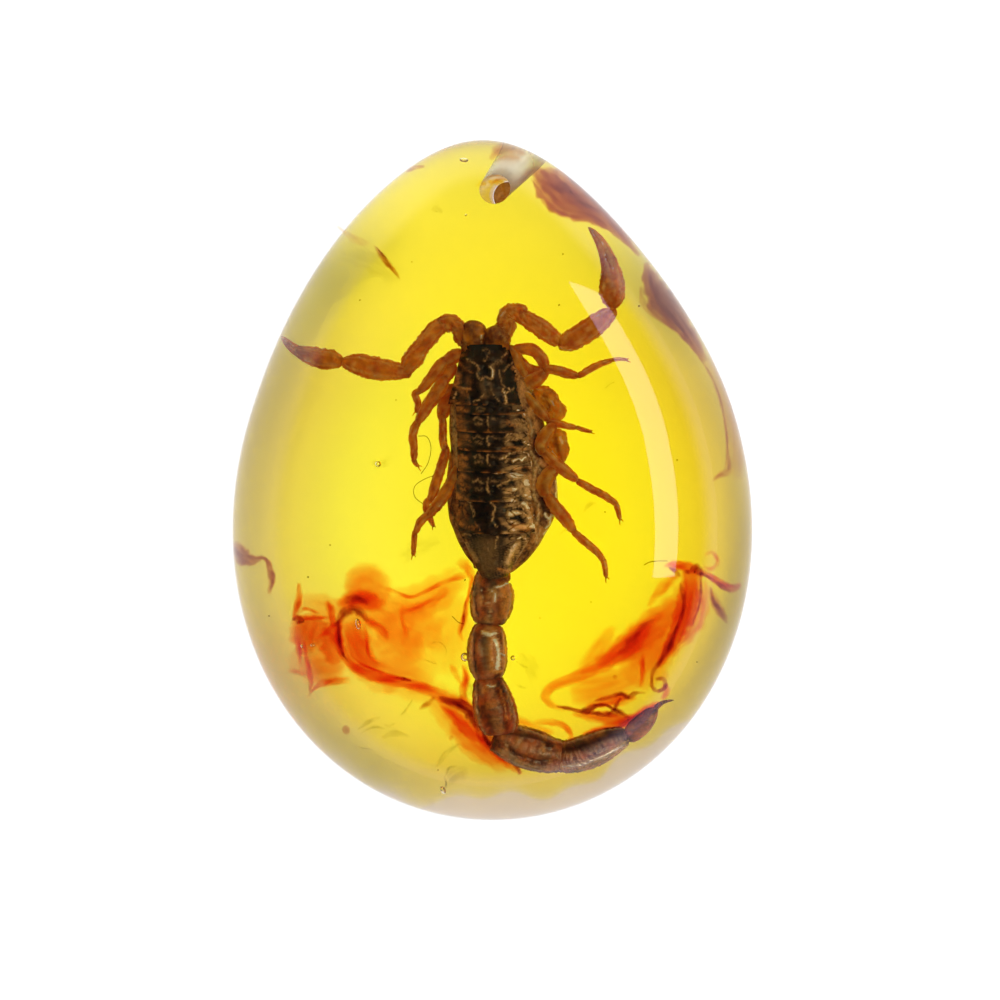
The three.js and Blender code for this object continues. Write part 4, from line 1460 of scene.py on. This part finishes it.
# %% The dye at the left
DYE_LEFT = (
    (3, 0, ((368, 562, 12), (367, 578, 23), (366, 592, 24), (360, 608, 16))),
    (6, 0, ((338, 608, 6), (350, 601, 10), (366, 600, 11), (382, 605, 6))),
    (2.5, 1, ((345, 598, 2), (354, 598, 3.5), (362, 600, 3.5), (368, 604, 2))),
    (5, 1, ((335, 627, 2), (340, 618, 5), (346, 612, 6), (354, 610, 6), (362, 614, 5), (368, 622, 2))),
    (6, 0, ((362, 614, 4), (371, 622, 5), (382, 630, 5), (388, 640, 3))),
    (6, 0, ((306, 613, 15), (308, 626, 19), (310, 640, 19), (314, 653, 14))),
    (6, 0, ((292, 617, 4), (304, 618, 3), (318, 618, 3), (328, 617, 2))),
    (5, 1, ((292, 619, 2), (297, 619, 4.5), (301, 621, 4.5), (304, 623, 2))),
    (7, 0, ((299, 583, 2.5), (299, 596, 4), (297, 608, 4.5), (296, 619, 4))),
    (5, 0, ((300, 613, 2), (304, 609, 2.5), (311, 610, 2.5), (319, 613, 1.5))),
    (6, 0, ((298, 636, 4), (299, 650, 4), (300, 664, 2))),
    (6, 0, ((304, 640, 2.5), (306, 656, 3), (309, 670, 3.5), (311, 684, 3), (309, 692, 1.5))),
    (6, 0, ((307, 698, 1), (313, 690, 2), (321, 684, 4), (334, 681, 5), (351, 680, 4))),
    (2.5, 0, ((288, 668, 4), (298, 673, 4), (308, 672, 3))),
    (8, 0, ((326, 601, 3), (330, 608, 5), (332, 617, 4), (333, 628, 3))),
    (5, 0, ((318, 637, 2), (326, 632, 3), (333, 626, 3), (343, 620, 2))),
    (7, 0, ((330, 622, 8), (332, 636, 12), (332, 650, 12), (338, 664, 8))),
    (8, 0, ((338, 618, 4), (338, 632, 5), (341, 648, 5), (348, 662, 5), (360, 671, 6), (376, 677, 6),
            (392, 681, 6), (410, 684, 6), (428, 690, 7), (446, 698, 7), (462, 704, 8), (478, 712, 7))),
    (6, 1, ((339, 622, 2), (339, 638, 2.5), (342, 652, 2), (348, 662, 1))),
    (7, 0, ((350, 655, 1.5), (362, 664, 2), (378, 671, 2), (395, 677, 2.5), (412, 680, 2))),
    (4, 1, ((396, 677, 1), (404, 679, 2.5), (412, 681, 1))),
    (3, 0, ((352, 612, 14), (372, 634, 30), (390, 654, 36), (412, 668, 28), (434, 682, 14))),
    (2.5, 0, ((346, 622, 10), (352, 642, 14), (364, 660, 12), (384, 672, 8))),
    (2.5, 0, ((372, 606, 12), (396, 606, 20), (420, 602, 20), (444, 588, 18), (462, 572, 12))),
    (2, 0, ((395, 610, 30), (412, 634, 38), (424, 660, 26))),
    (5, 0, ((364, 625, 2), (367, 640, 3), (369, 655, 2.5), (378, 664, 1))),
    (3, 0, ((401, 606, 3), (403, 622, 3), (408, 640, 3))),
    (5, 0, ((384, 588, 2.5), (396, 592, 2.5), (410, 597, 2.5), (424, 592, 2.5), (440, 584, 3), (455, 578, 4),
            (469, 574, 5))),
    (4, 0, ((398, 612, 4), (416, 608, 6), (434, 600, 6), (448, 588, 5))),
    (6, 0, ((458, 560, 6), (467, 568, 6), (472, 578, 4), (470, 592, 3), (466, 606, 3), (464, 620, 4),
            (460, 632, 3), (464, 641, 1.5))),
    (3, 1, ((466, 600, 1), (464, 614, 2), (463, 624, 2), (460, 634, 1))),
    (7, 0, ((464, 664, 3), (466, 678, 5), (463, 692, 5), (466, 704, 3))),
    (3, 0, ((450, 664, 3), (456, 674, 4), (460, 684, 2))),
    (8, 1, ((438, 697, 2), (450, 702, 5), (463, 706, 7), (474, 716, 8), (482, 730, 5))),
    (8, 0, ((440, 704, 3), (452, 714, 6), (462, 724, 8), (472, 733, 8), (484, 742, 5))),
    (7, 1, ((478, 712, 2), (482, 728, 2.5), (487, 741, 3), (496, 750, 3.5), (505, 758, 3), (514, 764, 3),
            (521, 774, 3))),
    (6, 0, ((474, 722, 3), (482, 740, 5), (496, 754, 6), (512, 766, 5), (522, 774, 2))),
    (3.5, 0, ((452, 728, 6), (470, 744, 12), (490, 756, 13), (510, 768, 8))),
    (2, 0, ((430, 700, 8), (448, 716, 14), (464, 736, 12))),
    (2, 0, ((344, 584, 9), (356, 583, 16), (374, 584, 17), (392, 588, 9))),
    (4, 0, ((344, 610, 6), (354, 602, 11), (370, 602, 11), (386, 606, 7))),
    (2, 1, ((344, 602, 3), (352, 600, 6), (362, 600, 6), (371, 604, 3))),
    (2.5, 0, ((292, 629, 8), (304, 630, 15), (318, 632, 16), (332, 634, 16), (341, 636, 10))),
    (2.5, 0, ((298, 668, 8), (315, 668, 16), (332, 668, 14), (344, 670, 8))),
    (3.5, 0, ((350, 622, 6), (356, 640, 14), (362, 658, 14), (376, 670, 8))),
    (2.5, 0, ((296, 600, 8), (320, 606, 14), (340, 620, 20), (352, 640, 20), (366, 656, 14))),
    (2, 0, ((292, 650, 12), (308, 660, 20), (326, 668, 20), (346, 672, 14))),
    (2.2, 0, ((342, 592, 10), (366, 604, 20), (392, 618, 24), (420, 630, 20), (440, 640, 12))),
    (5, 0, ((343, 612, 3), (339, 628, 5), (339, 645, 5), (344, 660, 3))),
    (1.7, 0, ((436, 584, 14), (446, 604, 22), (450, 630, 24), (448, 654, 20), (446, 676, 10))),
    (1.8, 0, ((346, 656, 12), (378, 674, 18), (412, 684, 18), (446, 698, 12))),
    (3, 0, ((440, 692, 8), (456, 708, 16), (472, 726, 20), (490, 746, 17), (508, 762, 8))),
    (3.5, 1, ((468, 712, 4), (480, 728, 7), (493, 745, 8), (508, 760, 5))),
)
for number, (thick, dense, knots) in enumerate(DYE_LEFT):
    dye_run("dye_left_" + str(number + 1), knots, 72 - number % 3, 1.55 * thick, dyes[dense], 600 + number)

# %% The dye at the right
DYE_RIGHT = (
    (7, 0, ((664, 566, 2), (674, 564, 4), (686, 566, 6), (698, 570, 5))),
    (5, 1, ((690, 570, 2), (696, 568, 5), (700, 573, 4.5), (703, 577, 2))),
    (4, 1, ((668, 567, 1), (675, 571, 3), (680, 577, 2))),
    (3, 1, ((683, 571, 1.5), (688, 572, 3), (693, 571, 1.5))),
    (4, 0, ((680, 575, 3), (669, 582, 7), (658, 593, 6), (648, 607, 3))),
    (9, 0, ((700, 570, 3), (711, 577, 4), (722, 584, 4.5), (733, 588, 5), (741, 584, 3))),
    (4, 1, ((700, 572, 2), (710, 578, 2), (721, 586, 3), (731, 592, 3))),
    (3, 0, ((704, 555, 3), (713, 553, 3), (718, 562, 3), (711, 569, 3), (702, 566, 2))),
    (10, 0, ((692, 568, 11), (691, 584, 12), (689, 600, 12), (684, 616, 12), (676, 634, 9), (667, 651, 6),
             (658, 667, 4))),
    (5, 1, ((680, 582, 2), (683, 594, 3.5), (684, 606, 2.5), (680, 620, 2.5), (674, 634, 3), (668, 648, 5),
            (661, 660, 3), (653, 672, 3), (652, 684, 2))),
    (3, 1, ((700, 574, 1.5), (701, 590, 2), (699, 606, 1.5), (692, 626, 1.5))),
    (5, 0, ((684, 602, 8), (668, 614, 14), (650, 627, 16), (634, 642, 15), (618, 654, 12), (600, 665, 9),
            (584, 673, 7), (566, 681, 6), (552, 687, 6), (545, 696, 5), (552, 705, 4), (566, 710, 3))),
    (4.5, 0, ((664, 614, 4), (650, 623, 6), (640, 634, 9), (628, 647, 11), (614, 656, 9), (598, 666, 5),
              (580, 674, 3))),
    (2.5, 1, ((656, 618, 1.5), (645, 625, 3), (637, 633, 5), (629, 644, 6), (618, 655, 3))),
    (3, 0, ((664, 628, 16), (652, 648, 24), (642, 668, 24), (630, 684, 16))),
    (3.5, 0, ((640, 672, 14), (616, 684, 18), (592, 690, 17), (570, 694, 12))),
    (3, 0, ((614, 626, 5), (604, 640, 9), (594, 654, 9), (578, 668, 6))),
    (6, 0, ((643, 650, 2), (642, 662, 3.5), (643, 676, 3.5), (640, 688, 2))),
    (5, 1, ((652, 676, 2), (652, 686, 2.5), (658, 691, 2.5), (665, 687, 3), (663, 679, 3), (655, 679, 2))),
    (5, 0, ((664, 684, 4), (667, 691, 4), (662, 700, 3))),
    (7, 1, ((556, 706, 1.5), (566, 708, 2.5), (580, 711, 3), (588, 710, 5), (596, 706, 3), (606, 705, 2),
            (613, 709, 2.5), (622, 713, 3.5), (630, 719, 2))),
    (5, 1, ((594, 701, 1), (606, 698, 2.5), (620, 694, 3), (628, 697, 4), (636, 693, 2.5), (646, 693, 1))),
    (4, 1, ((604, 712, 1.5), (612, 712, 3), (617, 704, 2.5), (621, 697, 2))),
    (5, 1, ((584, 713, 1.5), (594, 713, 2.5), (606, 715, 3), (618, 714, 3))),
    (7, 0, ((572, 712, 4), (592, 716, 7), (612, 718, 8), (630, 720, 6), (646, 712, 4), (660, 702, 2))),
    (6, 0, ((586, 708, 4), (604, 702, 7), (622, 700, 7), (636, 696, 4))),
    (9, 0, ((552, 738, 2), (564, 744, 4), (580, 739, 5), (598, 731, 6), (616, 726, 7), (634, 718, 6),
            (648, 708, 5), (660, 702, 2))),
    (5, 1, ((544, 734, 1.5), (553, 742, 3), (566, 746, 3), (582, 740, 3), (600, 732, 3), (620, 726, 3),
            (640, 713, 2))),
    (5, 0, ((534, 722, 3), (550, 722, 4), (564, 726, 4), (571, 735, 3), (566, 743, 2))),
    (3, 0, ((500, 708, 5), (516, 720, 7), (536, 728, 6), (554, 734, 4))),
    (4, 0, ((692, 578, 8), (682, 604, 18), (664, 630, 25), (646, 650, 24), (626, 662, 12))),
    (4, 0, ((704, 580, 4), (704, 600, 7), (698, 622, 8), (684, 640, 7), (668, 654, 4))),
    (3.5, 0, ((650, 624, 6), (632, 640, 12), (614, 654, 12), (596, 664, 8))),
    (4, 0, ((668, 566, 4), (680, 568, 7), (694, 571, 7), (704, 576, 4))),
)
for number, (thick, dense, knots) in enumerate(DYE_RIGHT):
    dye_run("dye_right_" + str(number + 1), knots, 74 - number % 3, 1.5 * thick, dyes[dense], 700 + number)
print("dye:", len(DYE_LEFT) + len(DYE_RIGHT), "runs,", sum(counts), "faces so far")

# %% Brown swirls near the edge
# Each is a tuple of its thickness, its height over the back, and its knots.
brown_tint = tint_finish("brown swirl", (0.84, 0.58, 0.25), 3200.0)
EDGE_SWIRLS = (
    (28, 40, ((532, 168, 3), (546, 180, 16), (562, 193, 20), (582, 205, 17), (602, 217, 11), (622, 236, 5),
              (640, 256, 2))),
    (10, 46, ((531, 178, 1), (540, 194, 3.5), (551, 207, 4), (567, 216, 3.5), (590, 220, 3), (606, 229, 1))),
    (10, 40, ((540, 170, 3), (552, 182, 8), (566, 190, 6), (584, 202, 4), (600, 214, 2))),
    (8, 40, ((560, 170, 2), (580, 186, 4), (600, 204, 5), (620, 226, 4), (638, 248, 2))),
    (10, 46, ((490, 160, 2), (498, 151, 7), (512, 149, 7), (526, 154, 4))),
    (10, 46, ((406, 172, 1), (414, 168, 3), (425, 166, 2))),
    (26, 38, ((646, 262, 2), (650, 278, 9), (660, 298, 14), (674, 316, 12), (690, 336, 8), (706, 362, 3))),
    (9, 42, ((641, 286, 2), (643, 302, 4), (654, 315, 3.5), (672, 328, 2.5), (690, 345, 2), (702, 362, 1.5))),
    (9, 40, ((650, 270, 1), (652, 288, 3), (664, 308, 3), (680, 326, 3), (698, 352, 1))),
    (9, 42, ((700, 358, 1.2), (712, 378, 1.6), (721, 402, 1.6), (726, 430, 1.6), (727, 450, 1.6),
             (725, 470, 1.2))),
    (5, 38, ((706, 358, 4), (724, 386, 11), (735, 420, 12), (738, 450, 11), (738, 480, 5))),
    (9, 44, ((711, 482, 1), (720, 475, 4), (729, 470, 4), (728, 455, 2), (727, 440, 1))),
    (20, 36, ((234, 542, 5), (240, 554, 10), (250, 560, 7), (262, 559, 2))),
    (22, 48, ((256, 557, 1.5), (263, 558, 2.5), (268, 562, 3), (270, 570, 4), (273, 580, 3.5),
              (272, 588, 1))),
    (9, 50, ((268, 575, 2), (271, 584, 3), (268, 595, 3))),
    (12, 56, ((710, 586, 1.5), (713, 597, 5), (718, 608, 6), (724, 617, 4), (727, 624, 1))),
    (12, 56, ((711, 588, 1), (713, 600, 3), (719, 610, 4), (725, 620, 2))),
    (14, 76, ((374, 245, 1), (380, 254, 3), (388, 264, 3.5), (395, 272, 2.5), (400, 279, 1))),
    (10, 76, ((376, 247, 0.8), (383, 255, 1.5), (390, 266, 1.5), (397, 276, 0.8))),
    (4, 70, ((342, 230, 2), (356, 240, 5), (371, 244, 2))),
    (9, 66, ((419, 710, 2), (427, 704, 4), (435, 697, 2))),
)
for number, (thick, level, knots) in enumerate(EDGE_SWIRLS):
    dye_run("swirl_" + str(number + 1), knots, level, thick, brown_tint, 800 + number)
print("swirls:", len(EDGE_SWIRLS))

# %% [markdown]
# ## Bubbles, flaws and dirt
# Air that was stirred in stays as small bubbles. A bubble bends light the other way round, from resin to air,
# so it shows as a dark ring with a bright middle. Besides there are faint smears where the two pours didn't
# bind, hairs, dark specks, crumbs of drilled resin at the mouth of the cord hole, and dirt packed into its
# far end.

# %% Air bubbles
def ball(x, y, z, radius, stretch=1.0, lean=0.0, lumps=0.0, seed=0):
    """A grid round a ball: radius times (sin a cos t, sin a sin t, cos a), stretched along one heading."""
    a = np.linspace(0, math.pi, 25)[:, None]
    t = np.linspace(0, 2 * math.pi, 32, endpoint=False)
    size = radius * (1 + lumps * ripples(3 * np.sin(a) * np.cos(t), 3 * np.sin(a) * np.sin(t) + 3 * np.cos(a),
                                         4, seed))
    along = size * stretch * np.sin(a) * np.cos(t)
    aside = size * np.sin(a) * np.sin(t)
    points = np.stack([x + along * math.cos(lean) - aside * math.sin(lean),
                       y + along * math.sin(lean) + aside * math.cos(lean), z + size * np.cos(a)], axis=2)
    points[0] = points[0].mean(axis=0)
    points[-1] = points[-1].mean(axis=0)
    return {"points": points, "marks": {}}


air, _, air_at = new_material("air in a bubble")
surface = air_at.node("ShaderNodeBsdfGlass", Color=(1.0, 1.0, 1.0), Roughness=0.0, IOR=1 / RESIN_IOR)
put(air_at.tree, surface, air_at.tree.nodes["Material Output"].inputs["Surface"])
BUBBLES = ((346, 730, 4.2, 1.2, 1.2), (451, 738, 2.4, 1.25, -0.9), (465, 657, 4.6, 1.0, 0.0),
           (513, 658, 2.6, 1.0, 0.0), (615, 677, 2.6, 1.0, 0.0), (378, 464, 3.0, 1.1, 0.3),
           (313, 645, 1.6, 1.6, 0.0), (302, 646, 1.3, 1.5, 1.2), (358, 624, 3.0, 1.9, 1.4),
           (443, 790, 2.6, 1.6, 1.1), (464, 160, 2.2, 2.0, 0.1), (466, 215, 1.2, 1.0, 0.0))
BEADS = (0, 1, 4)  # these three are drops of brown liquid, not air
for number, (x, y, radius, stretch, lean) in enumerate(BUBBLES):
    level = 50 if y > 780 or y < 180 else 84
    filled = number in BEADS
    sealed_piece("bubble_" + str(number + 1), [ball(x, y, level, radius, stretch, lean)],
                 brown_tint if filled else air)
print("bubbles:", len(BUBBLES))

# %% Faint smears
smear_tint = tint_finish("unbound smear", (0.72, 0.7, 0.5), 1600.0)
SMEARS = (
    (5, ((357, 730, 1), (368, 722, 3), (381, 717, 2))), (5, ((360, 734, 1), (372, 727, 2), (386, 729, 1))),
    (6, ((382, 738, 2), (394, 733, 4), (410, 737, 2))), (5, ((400, 716, 1), (406, 710, 2), (413, 699, 1))),
    (6, ((354, 744, 0.7), (362, 748, 1.1), (371, 749, 0.7))),
    (4, ((384, 724, 1), (390, 726, 2), (396, 722, 1))), (5, ((436, 768, 2), (446, 753, 4), (460, 743, 2))),
    (9, ((445, 777, 1), (449, 768, 2), (457, 766, 1))), (9, ((444, 776, 1), (446, 784, 1.6), (444, 794, 1))),
    (5, ((446, 784, 3), (457, 776, 10), (468, 770, 5))),
    (6, ((516, 661, 0.8), (521, 665, 1.3), (528, 668, 0.7))),
    (7, ((516, 685, 0.8), (521, 687, 1.8), (526, 688, 0.7))),
    (6, ((584, 512, 1.5), (589, 505, 3), (596, 503, 1))),
    (5, ((604, 389, 0.7), (610, 384, 1.2), (615, 382, 0.7))),
    (7, ((428, 647, 0.7), (434, 642, 1), (441, 643, 1), (446, 649, 0.9), (446, 656, 0.6))),
    (8, ((424, 658, 0.6), (430, 662, 1), (437, 664, 0.6))),
    (4, ((370, 462, 3), (382, 464, 6), (392, 456, 3))), (3, ((340, 250, 8), (372, 262, 14), (400, 282, 10))),
    (3, ((520, 652, 6), (530, 666, 10), (536, 682, 6))), (3, ((400, 560, 8), (418, 548, 10), (440, 540, 6))),
    (4, ((431, 212, 2), (437, 208, 4), (443, 213, 2))), (4, ((560, 534, 1), (566, 530, 2), (571, 531, 1))),
    (5, ((450, 700, 4), (470, 690, 5), (466, 678, 3))),
)
for number, (thick, knots) in enumerate(SMEARS):
    level = 52 if knots[1][1] > 740 or knots[1][1] < 230 else 66
    dye_run("smear_" + str(number + 1), knots, level, 1.3 * thick, smear_tint, 900 + number, streaks=0.8)

# %% Hairs, specks and crumbs
dirt = shell_finish("dark dirt", (0.06, 0.03, 0.01), (0.3, 0.15, 0.04), (0.5, 0.35, 0.15), 0.5, grain=0.4)
HAIRS = (
    [(418, 436, 88, 0.16), (427, 437, 89, 0.16), (431, 448, 89, 0.16), (428, 463, 88, 0.16),
     (421, 474, 87, 0.14)],
    [(442, 474, 86, 0.16), (427, 478, 87, 0.16), (415, 486, 87, 0.16), (415, 497, 86, 0.16),
     (426, 506, 85, 0.14)],
    [(644, 565, 82, 0.34), (650, 562, 82, 0.34), (658, 561, 82, 0.3), (668, 561, 81, 0.14)],
    [(452, 616, 80, 0.14), (458, 622, 80, 0.16), (464, 624, 80, 0.14)],
)
for number, knots in enumerate(HAIRS):
    hair = tube(knots, flat=1.0, sides=8, steps=40, rough=0.0, seed=950 + number, middle_shade=0.0, streaks=0.0)
    sealed_piece("hair_" + str(number + 1), [hair], dirt)

SPECKS = ((308, 577, 1.0), (269, 616, 1.1), (465, 580, 0.9), (639, 306, 1.2), (677, 460, 0.9),
          (697, 662, 0.9), (553, 518, 0.8), (605, 512, 0.8), (396, 400, 0.7), (360, 300, 0.8),
          (330, 545, 0.9), (563, 254, 0.9), (559, 305, 1.0), (628, 720, 0.7), (591, 602, 0.6),
          (540, 618, 0.6), (412, 262, 0.7), (438, 770, 0.8))
for number, (x, y, radius) in enumerate(SPECKS):
    speck = ball(x, y, 70, 0.65 * radius, stretch=1.3, lean=number, lumps=0.3, seed=number)
    speck["marks"] = {name: speck["points"][..., 0] * 0 for name in ("pale", "dark", "amber")}
    sealed_piece("speck_" + str(number + 1), [speck], dirt)

# %% Crumbs at the hole's mouth, and the dirt in it
crumb_finish = tint_finish("chips of drilled yellow resin", (1.0, 0.86, 0.0), 5500.0)
CRUMBS = ((483, 182, 2.0, 2.0, -0.2), (491, 180, 2.2, 1.6, 0.1), (497, 180, 2.4, 1.3, 0.4),
          (502, 181, 2.6, 1.2, 1.0), (504, 187, 1.8, 1.8, 1.4), (505, 193, 1.2, 2.2, 1.5),
          (499, 184, 1.4, 1.2, 0.0), (478, 185, 1.4, 1.8, -0.6))
for number, (x, y, radius, stretch, lean) in enumerate(CRUMBS):
    spot = np.array([[(x - MIDDLE_X) * SQUARE], [(MIDDLE_Y - y) * SQUARE]])
    top = dome_height(*spot)[0] / SQUARE
    crumb = ball(x, y, top - 1.1 * radius - 0.8, radius, stretch, lean, lumps=0.35, seed=960 + number)
    sealed_piece("crumb_" + str(number + 1), [crumb], crumb_finish)


DIRT_X = 1.15  # these three in mm, close to the hole's own numbers
DIRT_Y = 21.9
DIRT_RADIUS = 1.08


def packed_dirt():
    """A lumpy disc across the hole's far end, in true places, 0.1 to 0.9 mm over the back's surface."""
    turn = np.linspace(0, 2 * math.pi, 48, endpoint=False)
    reach = np.concatenate([[0], np.linspace(0.1, DIRT_RADIUS, 14),
                            np.linspace(DIRT_RADIUS, 0.1, 6), [0]])[:, None]
    upper = (np.arange(len(reach)) < 15)[:, None]
    x = reach * np.cos(turn)
    y = reach * np.sin(turn)
    share = reach_share((DIRT_X + x) * MM, (DIRT_Y + y) * MM)
    beyond = np.clip(share - BACK_SHARE, 0, None) / (1 - BACK_SHARE)
    under = 0.1 + RIM_HEIGHT / MM * (1 - np.sqrt(1 - beyond ** 2))
    z = np.where(upper, under + 0.6 + 0.18 * ripples(x, y, 0.8, 970) + 0.12 * reach ** 2, under)
    z[0] = z[0].mean()
    places = np.stack([DIRT_X + x, DIRT_Y + y, z], axis=2).reshape(-1, 3) * MM
    mesh = mesh_of("packed_dirt", places, grid_faces(len(reach), len(turn), wrap=True)[:, ::-1])
    for mark in ("pale", "dark", "amber"):
        mesh.attributes.new(mark, "FLOAT", "POINT")
    return mesh


dirt_mesh = packed_dirt()
packed = shell_finish("tan dirt in the hole", (0.7, 0.42, 0.14), (0.95, 0.68, 0.35), (1.0, 0.8, 0.5), 0.6,
                      gloss=0.7)
add_piece("packed_dirt", dirt_mesh, packed)
print("bits of dirt:", len(HAIRS) + len(SPECKS) + len(CRUMBS) + 1)
